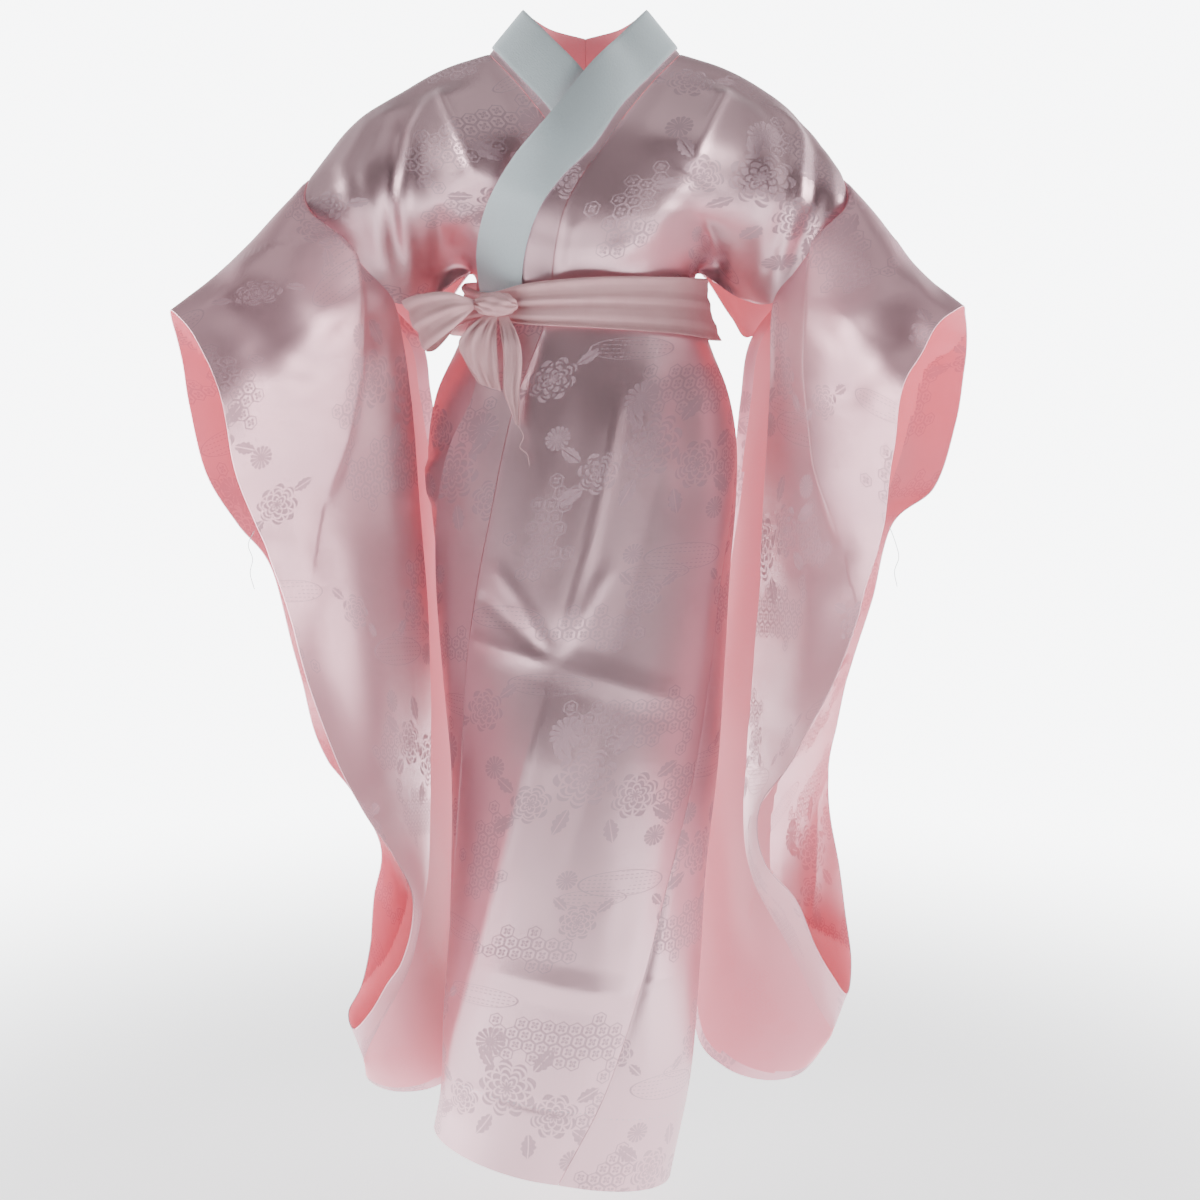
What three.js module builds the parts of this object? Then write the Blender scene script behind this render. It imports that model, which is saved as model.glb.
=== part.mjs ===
// Nagajuban: the under-kimono with long open sleeves, worn and tied, held up at the neck and shoulders.
// Millimetres, +Z up. The front faces -Y and +X is the wearer's left side.
// Every piece is a wall of cloth. It is built from rows of points that run across the cloth, and the
// rows follow one another along its length.
import * as THREE from 'three';

const CLOTH = 1.5; // thickness of each cloth wall
const SEAM_INSET = 0.5; // each sewn edge stops this short of its seam line
const SLEEVE_INSET = 0.7; // the same for the sleeve, which meets the body at an angle
const LAYER = 7; // depth between the two overlapping fronts
const COLLAR_COVER = 58; // width of the white half-collar
const COVER_START = 0.06; // least share of the collar's width that it leaves bare at the seam
const COVER_LIFT = 2.6; // its height above the collar under it
const UNDER = 12; // depth of the under front and its collar behind the upper ones
const UNDER_START = 2; // front row where the half-collar starts on the under side
const EASE = 16; // width of the cloth that eases back from a covering edge
const EASE_SLOPE = 0.35; // how fast it eases
const SEAM_TURN = 22; // degrees past a side seam over which the layers part
const ARM_SPREAD = 18; // how much farther out the right arm is carried
const SHOULDER = 200; // distance from the middle where that begins
const SPREAD_OVER = 85; // and the width over which it grows
const LOOSE_END = 1.5; // how far the middle of the belt's strips stands out
const DEG = Math.PI / 180;

const SATIN = { color: 0xe6cbd6, roughness: 0.35 };
const CREPE = { color: 0xc8d6d9, roughness: 0.8 };
const GAUZE = { color: 0xd2a3a3, roughness: 0.7 };

// Points across each kind of cloth, and rows put in between its own
const BODY_GRID = { divisions: 10, startInset: SEAM_INSET, endInset: SEAM_INSET };
const COLLAR_GRID = { divisions: 4, startInset: SEAM_INSET };
const SLEEVE_GRID = { divisions: 8, startInset: SLEEVE_INSET, closed: true };
const HALF_COLLAR_GRID = { divisions: 3, steps: 2 };
const BELT_GRID = { divisions: 3, steps: 3, closed: true };
const STRIP_GRID = { divisions: 4, steps: 2 };
const PANEL_STEPS = 8; // steps across a skirt panel
const MEASURE_STEPS = 40; // steps that measure a row's length
const KNOT_SEGMENTS = [16, 10];

// The figure and the wrap, from the hem to the belt.

// z, half width, depth in front, depth behind, sideways shift of the middle, slope of the row along X
const FIGURE = [
  [-1290, 137, 103, 98, -36, -0.21],
  [-1180, 140, 102, 101, -16, -0.12],
  [-1060, 142, 102, 103, -8, -0.05],
  [-940, 145, 102, 105, -4, 0],
  [-820, 152, 104, 108, 2, 0],
  [-700, 160, 106, 112, 1, 0],
  [-600, 167, 109, 115, -1, 0],
  [-520, 174, 111, 118, -2, 0],
  [-450, 176, 111, 116, -3, 0],
  [-390, 166, 107, 106, -3, 0],
  [-340, 144, 102, 94, -2, 0],
  [-290, 124, 98, 90, 0, 0],
];

// The same, without z, just above the top row
const ABOVE_BELT = [122, 98, 90, 0, 0];

// Angles round the body in degrees, 0 in front and positive towards +X, one row for each figure row:
// left side seam, upper front's strip seam and edge, right side seam, under front's strip seam and edge,
// centre back seam
const WRAP = [
  [2, -118, -146, -52, 80, 106, 165],
  [16, -104, -132, -56, 74, 100, 168],
  [30, -91, -118, -62, 68, 94, 171],
  [43, -78, -105, -66, 62, 88, 173],
  [53, -65, -93, -70, 55, 82, 175],
  [62, -54, -85, -76, 48, 76, 177],
  [68, -43, -76, -80, 40, 70, 178],
  [75, -34, -65, -84, 34, 64, 179],
  [80, -28, -54, -86, 30, 56, 180],
  [84, -24, -44, -88, 26, 50, 180],
  [87, -20, -48, -90, 22, 50, 180],
  [90, -16, -58, -90, 16, 58, 180],
];

// The upper body: rows from the belt over the shoulder and down the back to the belt.

// Front of the left half: collar seam, bust, side of the bust, underarm hollow, armhole or side slit
const FRONT_ROWS = [
  [[-35, -103, -262], [50, -99, -262], [105, -54, -256], [123, -8, -253], [128, 4, -254]],
  [[-30, -116, -225], [50, -116, -230], [118, -62, -228], [143, 4, -240], [175, 0, -282]],
  [[-20, -129, -188], [60, -129, -195], [126, -74, -202], [164, -12, -238], [210, -35, -288]],
  [[-4, -126, -158], [70, -124, -172], [132, -85, -190], [182, -48, -220], [232, -52, -255]],
  [[17, -117, -128], [86, -114, -148], [148, -92, -172], [202, -75, -198], [253, -68, -226]],
  [[45, -94, -88], [106, -98, -113], [165, -92, -140], [222, -90, -168], [275, -80, -198]],
  [[76, -55, -48], [130, -58, -76], [182, -66, -104], [236, -74, -134], [286, -78, -178]],
  [[105, -10, -15], [155, -4, -31], [201, -8, -56], [246, -24, -92], [285, -55, -155]],
];
// How far the right front tucks under the left one, for each front row from the belt to the shoulder
const TUCK = [1, 1, 1, 1, 1, 1, 0.35, 0];
// How much of the tuck each point across a front row takes
const TUCK_SHARE = [1, 1, 0.57, 0.02, 0];
// How far the collar's middle stands out in front, for each front row
const COLLAR_BULGE = [11, 10, 9, 6, 4, 3, 2, 0];
// Back of the left half: neck seam and centre back seam, shoulder blade, back of the arm, armhole or slit
const BACK_ROWS = [
  [[94, 34, -17], [142, 32, -37], [191, 27, -64], [246, 18, -106], [288, -15, -165]],
  [[58, 68, -27], [116, 68, -52], [178, 62, -90], [232, 48, -136], [275, 20, -205]],
  [[0, 82, -35], [76, 95, -72], [150, 88, -130], [206, 72, -184], [248, 50, -258]],
  [[0, 104, -110], [66, 108, -132], [124, 96, -172], [166, 82, -232], [195, 72, -325]],
  [[0, 108, -185], [60, 104, -196], [112, 84, -212], [144, 60, -248], [168, 48, -302]],
  [[0, 93, -240], [60, 84, -244], [99, 56, -248], [118, 28, -249], [129, 14, -248]],
];

// The collar's free edge on the left half, one point for each front row and for the back rows at the neck
const NECK_ROWS = 3;
const COLLAR_EDGE = [
  [-116, -68, -238],
  [-108, -88, -197],
  [-93, -103, -165],
  [-70, -112, -130],
  [-36, -109, -90],
  [5, -76, -36],
  [36, -36, -1],
  [66, 10, 34],
  [60, 48, 34],
  [38, 84, 26],
  [0, 98, 18],
];

// The sleeves: one loop of cloth each, from the arm down the front, under, and up the back.
// Each row: side towards the body, middle, side towards the hand.

// Rows beside the armhole: middle and hand side only, because the seam gives the rest
const SLEEVE_TOP = {
  left: [
    [[345, -115, -245], [395, -190, -295]],
    [[335, -148, -262], [382, -203, -302]],
    [[322, -155, -272], [370, -210, -312]],
    [[308, -160, -290], [357, -217, -328]],
    [[292, -158, -312], [345, -225, -348]],
    [[275, -150, -340], [332, -233, -378]],
  ],
  right: [
    [[-370, -115, -240], [-430, -190, -298]],
    [[-358, -148, -258], [-418, -203, -306]],
    [[-342, -155, -270], [-405, -210, -320]],
    [[-327, -160, -293], [-393, -218, -340]],
    [[-312, -158, -318], [-382, -225, -362]],
    [[-295, -150, -345], [-372, -233, -392]],
  ],
};
const SLEEVE_BACK_TOP = {
  left: [
    [[345, -75, -246], [399, -176, -302]],
    [[335, -50, -280], [403, -166, -319]],
    [[320, -40, -315], [404, -162, -340]],
    [[308, -32, -345], [402, -160, -364]],
  ],
  right: [
    [[-362, -80, -246], [-431, -182, -308]],
    [[-350, -55, -285], [-428, -172, -328]],
    [[-335, -42, -325], [-424, -165, -355]],
    [[-322, -35, -360], [-418, -165, -400]],
  ],
};

const SLEEVE_ROWS = {
  left: [
    [[209, -22, -385], [270, -140, -412], [327, -230, -440]],
    [[205, -15, -500], [262, -140, -508], [318, -215, -520]],
    [[200, -10, -625], [248, -135, -615], [292, -215, -605]],
    [[191, -5, -745], [230, -130, -722], [260, -215, -695]],
    [[189, 0, -840], [206, -125, -808], [217, -215, -775]],
    [[190, 0, -910], [187, -120, -866], [187, -215, -822]],
    [[201, 0, -960], [196, -115, -920], [195, -215, -880]],
    [[224, 0, -1007], [224, -110, -965], [228, -205, -927]],
    [[249, 0, -1060], [250, -105, -1018], [250, -195, -980]],
    [[270, 5, -1112], [270, -95, -1068], [270, -180, -1017]],
    [[284, 12, -1146], [286, -80, -1100], [289, -165, -1043]],
    [[280, 27, -1180], [290, -55, -1116], [295, -150, -1010]],
    [[255, 45, -1215], [284, -30, -1116], [291, -126, -965]],
    [[214, 65, -1228], [260, -8, -1090], [284, -112, -912]],
    [[170, 88, -1220], [236, 12, -1045], [272, -106, -858]],
    [[138, 120, -1190], [218, 30, -988], [266, -106, -805]],
    [[130, 146, -1090], [216, 40, -895], [275, -115, -748]],
    [[135, 150, -900], [228, 40, -785], [294, -130, -675]],
    [[146, 142, -745], [242, 30, -680], [310, -150, -608]],
    [[163, 125, -605], [262, 15, -572], [324, -180, -522]],
    [[176, 105, -490], [284, 0, -488], [370, -178, -484]],
    [[183, 88, -400], [300, -20, -412], [394, -164, -416]],
  ],
  right: [
    [[-197, -22, -392], [-284, -140, -430], [-361, -231, -460]],
    [[-190, -15, -508], [-268, -140, -520], [-340, -215, -526]],
    [[-182, -10, -625], [-250, -135, -615], [-312, -215, -605]],
    [[-180, -5, -745], [-234, -130, -725], [-285, -215, -700]],
    [[-183, 0, -850], [-212, -125, -825], [-244, -215, -805]],
    [[-186, 0, -935], [-192, -120, -906], [-202, -212, -880]],
    [[-194, 0, -1000], [-184, -120, -960], [-182, -220, -922]],
    [[-205, 0, -1055], [-195, -115, -1015], [-193, -215, -985]],
    [[-220, 0, -1097], [-214, -110, -1055], [-213, -205, -1020]],
    [[-242, 5, -1147], [-234, -98, -1096], [-232, -188, -1055]],
    [[-263, 12, -1195], [-254, -80, -1144], [-254, -166, -1083]],
    [[-255, 27, -1220], [-252, -55, -1160], [-262, -150, -1068]],
    [[-225, 45, -1236], [-232, -30, -1168], [-250, -128, -1045]],
    [[-182, 65, -1236], [-206, -8, -1150], [-241, -112, -1003]],
    [[-146, 88, -1212], [-192, 12, -1096], [-234, -104, -948]],
    [[-124, 120, -1145], [-186, 30, -1014], [-229, -102, -893]],
    [[-120, 148, -1025], [-192, 40, -920], [-254, -110, -830]],
    [[-130, 150, -850], [-220, 40, -810], [-290, -125, -765]],
    [[-148, 140, -700], [-245, 30, -686], [-314, -146, -670]],
    [[-163, 120, -572], [-266, 15, -578], [-332, -175, -570]],
    [[-175, 102, -465], [-288, 0, -500], [-366, -185, -522]],
    [[-183, 86, -390], [-306, -20, -432], [-400, -175, -470]],
  ],
};

// The belt.

// angle round the body, height of the top edge, height of the bottom edge, distance out from the figure
const BELT_EDGES = [
  [-180, -258, -322, 9],
  [-145, -259, -324, 10],
  [-115, -263, -325, 16],
  [-90, -266, -322, 15],
  [-66, -272, -312, 18],
  [-48, -277, -306, 18],
  [-25, -268, -312, 18],
  [5, -262, -316, 17],
  [40, -261, -322, 16],
  [68, -261, -328, 14],
  [90, -261, -330, 13],
  [140, -259, -326, 11],
];
const KNOT = { x: -96, y: -106, z: -291, halfWidth: 23, halfDepth: 11, halfHeight: 13 };
// Strips of the belt past the knot: centre of the strip, then half its width along X and along Z
const LOOP_ROWS = [
  [[-119.5, -107.6, -291], [0, 5]],
  [[-143, -122, -296], [5, 18]],
  [[-170, -116, -306], [10, 25]],
  [[-185, -100, -314], [12, 27]],
  [[-176, -84, -314], [12, 26]],
  [[-158, -82, -306], [8, 20]],
  [[-140, -90, -298], [3, 11]],
  [[-119.5, -104, -292], [0, 4]],
];
const SHORT_TAIL_ROWS = [
  [[-101, -107, -303.6], [7, 1]],
  [[-111, -114, -322], [16, 4]],
  [[-115, -113, -341], [21, 7]],
  [[-110, -108, -363], [17, 7]],
  [[-103, -105, -380], [12, 4]],
];
const LONG_TAIL_ROWS = [
  [[-87.5, -107, -304], [5.5, 0]],
  [[-80, -119, -326], [9, 0]],
  [[-77, -120, -350], [10, 0]],
  [[-79, -119, -382], [9, 1]],
  [[-76, -118, -402], [6, 2]],
  [[-73, -117, -420], [2, 1]],
];

const vec = ([x, y, z]) => new THREE.Vector3(x, y, z);

// Point at t between b and c on the smooth curve through a, b, c and d
function between(a, b, c, d, t) {
  const point = b.clone().multiplyScalar(2);
  point.addScaledVector(c.clone().sub(a), t);
  const bend = a.clone().multiplyScalar(2).addScaledVector(b, -5).addScaledVector(c, 4).sub(d);
  const twist = b.clone().multiplyScalar(3).sub(a).addScaledVector(c, -3).add(d);
  point.addScaledVector(bend, t * t).addScaledVector(twist, t * t * t);
  return point.multiplyScalar(0.5);
}

// Neighbour number i of a list of points, mirrored past its ends or taken round a closed list
function neighbour(points, i, closed) {
  const n = points.length;
  if (closed) return points[(i + n) % n];
  if (i < 0) return points[0].clone().multiplyScalar(2).sub(points[1]);
  if (i >= n) return points[n - 1].clone().multiplyScalar(2).sub(points[n - 2]);
  return points[i];
}

// Smooth curve through a list of points, u from 0 to 1
function curveAt(points, u, closed = false) {
  const spans = closed ? points.length : points.length - 1;
  const i = Math.min(Math.floor(u * spans), spans - 1);
  const around = [-1, 0, 1, 2].map((k) => neighbour(points, i + k, closed));
  return between(...around, u * spans - i);
}

// A row across the cloth, cut short at both ends and divided evenly
function acrossRow(points, divisions, startInset, endInset) {
  const fine = Array.from({ length: MEASURE_STEPS + 1 }, (_, k) => curveAt(points, k / MEASURE_STEPS));
  let length = 0;
  fine.forEach((p, k) => { length += k ? p.distanceTo(fine[k - 1]) : 0; });
  const start = startInset / length;
  const step = (1 - endInset / length - start) / divisions;
  return Array.from({ length: divisions + 1 }, (_, k) => curveAt(points, start + step * k));
}

// Grid of points from rows, with extra rows put in between them
function gridFrom(rows, { divisions, steps = 1, startInset = 0, endInset = 0, closed = false }) {
  const across = rows.map((row) => acrossRow(row, divisions, startInset, endInset));
  const spans = closed ? rows.length : rows.length - 1;
  const grid = [];
  for (let r = 0; r < spans * steps + (closed ? 0 : 1); r += 1) {
    const u = r / (spans * steps);
    grid.push(across[0].map((_, k) => curveAt(across.map((row) => row[k]), u, closed)));
  }
  return grid;
}

// Unit normal of the grid's surface at each of its points
function gridNormals(grid, closed) {
  return grid.map((row, r) => row.map((_, k) => {
    const ahead = neighbour(grid.map((line) => line[k]), r + 1, closed);
    const behind = neighbour(grid.map((line) => line[k]), r - 1, closed);
    const along = ahead.clone().sub(behind);
    const across = neighbour(row, k + 1, false).clone().sub(neighbour(row, k - 1, false));
    return along.cross(across).normalize();
  }));
}

// The grid moved along its normals
function offsetGrid(grid, distance, closed = false) {
  const normals = gridNormals(grid, closed);
  return grid.map((row, r) => row.map((p, k) => p.clone().addScaledVector(normals[r][k], distance)));
}

// Closed wall of cloth on both sides of a grid
function wallGeometry(grid, closed = false, thickness = CLOTH) {
  const faces = [offsetGrid(grid, thickness / 2, closed), offsetGrid(grid, -thickness / 2, closed)];
  const rows = grid.length;
  const columns = grid[0].length;
  const positions = faces.flat(2).flatMap((p) => [p.x, p.y, p.z]);
  const at = (side, r, k) => side * rows * columns + (r % rows) * columns + k;
  const triangles = [];
  const quad = (a, b, c, d) => triangles.push(a, b, c, a, c, d);
  const spans = closed ? rows : rows - 1;
  for (let r = 0; r < spans; r += 1) {
    for (let k = 0; k < columns - 1; k += 1) {
      quad(at(0, r, k), at(0, r + 1, k), at(0, r + 1, k + 1), at(0, r, k + 1));
      quad(at(1, r, k), at(1, r, k + 1), at(1, r + 1, k + 1), at(1, r + 1, k));
    }
    const last = columns - 1;
    quad(at(0, r, 0), at(1, r, 0), at(1, r + 1, 0), at(0, r + 1, 0));
    quad(at(0, r, last), at(0, r + 1, last), at(1, r + 1, last), at(1, r, last));
  }
  if (!closed) {
    for (let k = 0; k < columns - 1; k += 1) {
      quad(at(0, 0, k), at(0, 0, k + 1), at(1, 0, k + 1), at(1, 0, k));
      quad(at(0, rows - 1, k), at(1, rows - 1, k), at(1, rows - 1, k + 1), at(0, rows - 1, k + 1));
    }
  }
  const geometry = new THREE.BufferGeometry();
  geometry.setAttribute('position', new THREE.Float32BufferAttribute(positions, 3));
  geometry.setIndex(signedVolume(positions, triangles) < 0 ? triangles.reverse() : triangles);
  return geometry;
}

function signedVolume(positions, triangles) {
  const corner = (i) => new THREE.Vector3().fromArray(positions, triangles[i] * 3);
  let volume = 0;
  for (let i = 0; i < triangles.length; i += 3) {
    volume += corner(i).dot(corner(i + 1).cross(corner(i + 2))) / 6;
  }
  return volume;
}

function addPiece(name, geometry, look) {
  const piece = new THREE.Mesh(geometry, new THREE.MeshStandardMaterial({ ...look, metalness: 0 }));
  piece.name = name;
  garment.add(piece);
}

const smooth = (t) => {
  const s = Math.min(Math.max(t, 0), 1);
  return s * s * (3 - 2 * s);
};

// Point on a figure row at an angle in degrees, moved outwards by lift
function onFigure(row, angle, lift = 0) {
  const [z, half, front, back, shift, slope] = row;
  const cos = Math.cos(angle * DEG);
  const depth = (cos > 0 ? front : back) + lift;
  const across = (half + lift) * Math.sin(angle * DEG);
  return new THREE.Vector3(shift + across, -depth * cos, z + slope * across);
}

// Row across a skirt panel between two angles. The lift grows away from the side seam.
function skirtRow(i, from, to, lift, seam) {
  return Array.from({ length: PANEL_STEPS + 1 }, (_, k) => {
    const angle = from + (to - from) * k / PANEL_STEPS;
    return onFigure(FIGURE[i], angle, lift * smooth(Math.abs(angle - seam) / SEAM_TURN));
  });
}

// The wearer's right half: mirrored, with the arm carried a little farther out
function mirrored([x, y, z]) {
  return [-x - ARM_SPREAD * Math.max(0, (Math.abs(x) - SHOULDER) / SPREAD_OVER), y, z];
}

function frontRow(i, side) {
  if (side === 'left') return FRONT_ROWS[i].map(vec);
  return FRONT_ROWS[i].map((p, k) => {
    const point = vec(mirrored(p));
    point.y += LAYER * TUCK[i] * TUCK_SHARE[k];
    return point;
  });
}

const backRow = (i, side) => BACK_ROWS[i].map((p) => vec(side === 'left' ? p : mirrored(p)));

// Body half: one length of cloth from the front hem over the shoulder to the back hem
function bodyRows(side) {
  const left = side === 'left';
  const hemToBelt = FIGURE.map((_, i) => i);
  const front = hemToBelt.map((i) => {
    const [leftSide, upperSeam, , rightSide, underSeam] = WRAP[i];
    if (left) return skirtRow(i, upperSeam, leftSide, LAYER, leftSide);
    return skirtRow(i, underSeam, rightSide, -LAYER, rightSide);
  });
  const back = hemToBelt.map((i) => {
    const [leftSide, , , rightSide, , , centre] = WRAP[i];
    if (left) return skirtRow(i, centre, leftSide, 0, leftSide);
    return skirtRow(i, centre - 360, rightSide, 0, rightSide);
  });
  return [
    ...front,
    ...FRONT_ROWS.map((_, i) => frontRow(i, side)),
    ...BACK_ROWS.map((_, i) => backRow(i, side)),
    ...back.reverse(),
  ];
}

// Collar: a strip along the front edge, from the hem up to the neck and round to the centre back
function collarRows(side) {
  const left = side === 'left';
  const skirt = FIGURE.map((figure, i) => {
    const [, upperSeam, upperEdge, , underSeam, underEdge] = WRAP[i];
    const [from, to, lift] = left ? [upperSeam, upperEdge, LAYER] : [underSeam, underEdge, -LAYER];
    return [0, 0.5, 1].map((t) => onFigure(figure, from + (to - from) * t, lift));
  });
  const down = FRONT_ROWS.map((_, i) => frontRow(i, side));
  const behind = BACK_ROWS.slice(0, NECK_ROWS).map((_, i) => backRow(i, side));
  const neck = [...down, ...behind].map((row, i) => {
    const edge = vec(left ? COLLAR_EDGE[i] : mirrored(COLLAR_EDGE[i]));
    if (!left) edge.y += LAYER * (TUCK[i] ?? 0);
    const middle = row[0].clone().lerp(edge, 0.5);
    middle.y -= COLLAR_BULGE[i] ?? 0;
    return [row[0], middle, edge];
  });
  neck.at(-1).forEach((point) => point.setX(left ? SEAM_INSET : -SEAM_INSET));
  return [...skirt, ...neck];
}

// Half-collar: the white band on the collar, from belt to belt round the neck. It stops short of the
// collar's seam.
function halfCollarGrid() {
  const up = collarRows('left').slice(FIGURE.length - 1);
  const down = collarRows('right').slice(FIGURE.length + UNDER_START, -1).reverse();
  const rows = [...up, ...down];
  const strip = rows.map((row) => {
    const width = row[0].distanceTo(row[1]) + row[1].distanceTo(row[2]);
    const from = Math.max(COVER_START, 1 - COLLAR_COVER / width);
    return [0, 0.5, 1].map((t) => curveAt(row, from + (1 - from) * t));
  });
  return offsetGrid(gridFrom(strip, HALF_COLLAR_GRID), COVER_LIFT);
}

function trianglesOf(grid) {
  return grid.slice(1).flatMap((row, r) => row.slice(1).flatMap((p, k) => [
    [grid[r][k], row[k], p],
    [grid[r][k], p, grid[r][k + 1]],
  ]));
}

// Depth of the other cloth at a place seen from the front, or undefined where there is none.
// With sign 1 it is the deepest point there, with -1 the one nearest the front.
function depthOf(x, z, others, sign) {
  let depth;
  for (const [a, b, c] of others.flatMap(trianglesOf)) {
    const area = (b.x - a.x) * (c.z - a.z) - (c.x - a.x) * (b.z - a.z);
    const s = ((x - a.x) * (c.z - a.z) - (c.x - a.x) * (z - a.z)) / area;
    const t = ((b.x - a.x) * (z - a.z) - (x - a.x) * (b.z - a.z)) / area;
    const y = a.y + s * (b.y - a.y) + t * (c.y - a.y);
    if (s >= 0 && t >= 0 && s + t <= 1 && (depth === undefined || y * sign > depth * sign)) depth = y;
  }
  return depth;
}

// Places round a point, in parts of the width EASE, where the cloth over it is looked for
const EASE_PLACES = [
  [0, 0], [0.5, 0], [-0.5, 0], [0, 0.5], [0, -0.5],
  [1, 0], [-1, 0], [0, 1], [0, -1],
];

// Press a grid's points behind the other cloth (sign 1) or in front of it (sign -1). The push eases off
// past the edges of the other cloth.
function press(grid, others, clearance, sign) {
  for (const point of grid.flat()) {
    for (const [dx, dz] of EASE_PLACES) {
      const depth = depthOf(point.x + dx * EASE, point.z + dz * EASE, others, sign);
      if (depth !== undefined) {
        const limit = depth * sign + clearance - Math.hypot(dx, dz) * EASE * EASE_SLOPE;
        point.y = Math.max(point.y * sign, limit) * sign;
      }
    }
  }
}

// Sleeve: one length of cloth that hangs as a loop. Its top rows are sewn to the body's armhole.
function sleeveGrid(side) {
  const top = SLEEVE_TOP[side].map((row, i) => (
    [frontRow(FRONT_ROWS.length - 1 - i, side).at(-1), ...row.map(vec)]
  ));
  const behind = SLEEVE_BACK_TOP[side].map((row, i) => [backRow(i, side).at(-1), ...row.map(vec)]);
  const rows = [...top, ...SLEEVE_ROWS[side].map((row) => row.map(vec)), ...behind.reverse()];
  return gridFrom(rows, SLEEVE_GRID);
}

// Figure row at any height, worked out between its two neighbours
function figureAt(z) {
  const upper = FIGURE.findIndex((row) => row[0] >= z);
  if (upper < 0) return [z, ...ABOVE_BELT];
  const [a, b] = [FIGURE[upper - 1], FIGURE[upper]];
  const t = (z - a[0]) / (b[0] - a[0]);
  return a.map((value, i) => value + (b[i] - value) * t);
}

function beltGrid() {
  const rows = BELT_EDGES.map(([angle, top, bottom, lift]) => (
    [0, 0.5, 1].map((t) => onFigure(figureAt(top + (bottom - top) * t), angle, lift))
  ));
  return gridFrom(rows, BELT_GRID);
}

// Strip of the belt's end: rows of a centre and the half width along X and Z
function stripGrid(rows) {
  const across = rows.map(([centre, [wide, high]]) => (
    [-1, 0, 1].map((t) => vec(centre).add(new THREE.Vector3(wide * t, t ? 0 : -LOOSE_END, -high * t)))
  ));
  return gridFrom(across, STRIP_GRID);
}

const garment = new THREE.Group();

const grids = {};
for (const side of ['left', 'right']) {
  grids[`body_${side}`] = gridFrom(bodyRows(side), BODY_GRID);
  grids[`collar_${side}`] = gridFrom(collarRows(side), COLLAR_GRID);
}
const halfCollar = halfCollarGrid();
const CHEST_START = FIGURE.length - 1;
const chest = (piece) => grids[piece].slice(CHEST_START, CHEST_START + FRONT_ROWS.length);
const upper = [chest('body_left'), chest('collar_left')];
const frontLength = (FRONT_ROWS.length - 1) * HALF_COLLAR_GRID.steps;
press(chest('body_right'), upper, UNDER, 1);
press(chest('collar_right'), upper, UNDER, 1);
press(halfCollar.slice(UNDER_START + 1 - frontLength), upper, UNDER / 2, 1);
press(halfCollar.slice(0, frontLength), [chest('collar_left')], COVER_LIFT, -1);

for (const side of ['left', 'right']) {
  addPiece(`body_${side}`, wallGeometry(grids[`body_${side}`]), SATIN);
  addPiece(`sleeve_${side}`, wallGeometry(sleeveGrid(side), true), SATIN);
  addPiece(`collar_${side}`, wallGeometry(grids[`collar_${side}`]), SATIN);
}
addPiece('half_collar', wallGeometry(halfCollar), CREPE);
addPiece('belt_wrap', wallGeometry(beltGrid(), true), GAUZE);
addPiece('belt_loop', wallGeometry(stripGrid(LOOP_ROWS)), GAUZE);
addPiece('belt_short_tail', wallGeometry(stripGrid(SHORT_TAIL_ROWS)), GAUZE);
addPiece('belt_long_tail', wallGeometry(stripGrid(LONG_TAIL_ROWS)), GAUZE);

const knot = new THREE.SphereGeometry(1, ...KNOT_SEGMENTS);
knot.scale(KNOT.halfWidth, KNOT.halfDepth, KNOT.halfHeight);
knot.translate(KNOT.x, KNOT.y, KNOT.z);
addPiece('belt_knot', knot, GAUZE);

export default garment;
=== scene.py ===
import bpy
import numpy as np
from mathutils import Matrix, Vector


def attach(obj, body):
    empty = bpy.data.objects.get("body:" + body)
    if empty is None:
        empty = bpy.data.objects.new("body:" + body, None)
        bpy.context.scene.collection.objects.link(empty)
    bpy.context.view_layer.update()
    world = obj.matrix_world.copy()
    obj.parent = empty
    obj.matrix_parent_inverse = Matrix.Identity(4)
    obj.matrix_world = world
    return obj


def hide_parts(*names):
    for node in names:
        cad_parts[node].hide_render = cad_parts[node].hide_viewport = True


# Nagajuban: silk satin under-kimono. Tables are in millimetres, meshes in metres.
# The front faces -Y and +X is the wearer's left.

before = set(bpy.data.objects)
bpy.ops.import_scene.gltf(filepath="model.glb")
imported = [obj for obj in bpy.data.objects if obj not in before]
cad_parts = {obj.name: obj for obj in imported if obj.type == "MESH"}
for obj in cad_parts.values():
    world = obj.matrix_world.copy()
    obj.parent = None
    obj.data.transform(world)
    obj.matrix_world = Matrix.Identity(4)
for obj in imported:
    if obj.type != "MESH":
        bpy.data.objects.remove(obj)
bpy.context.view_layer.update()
print("frame loaded")

cloth = {
    "thickness": 1.0, "seamInset": 0.3, "sleeveInset": 0.5,
    "layer": 7, "under": 12, "ease": 16, "easeSlope": 0.35, "underStart": 2,
    "spacing": 4.3,  # mm between points of the fine grids
    "stepWidth": 8,  # the steep side of a step fold
}

# The garment's form

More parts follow.
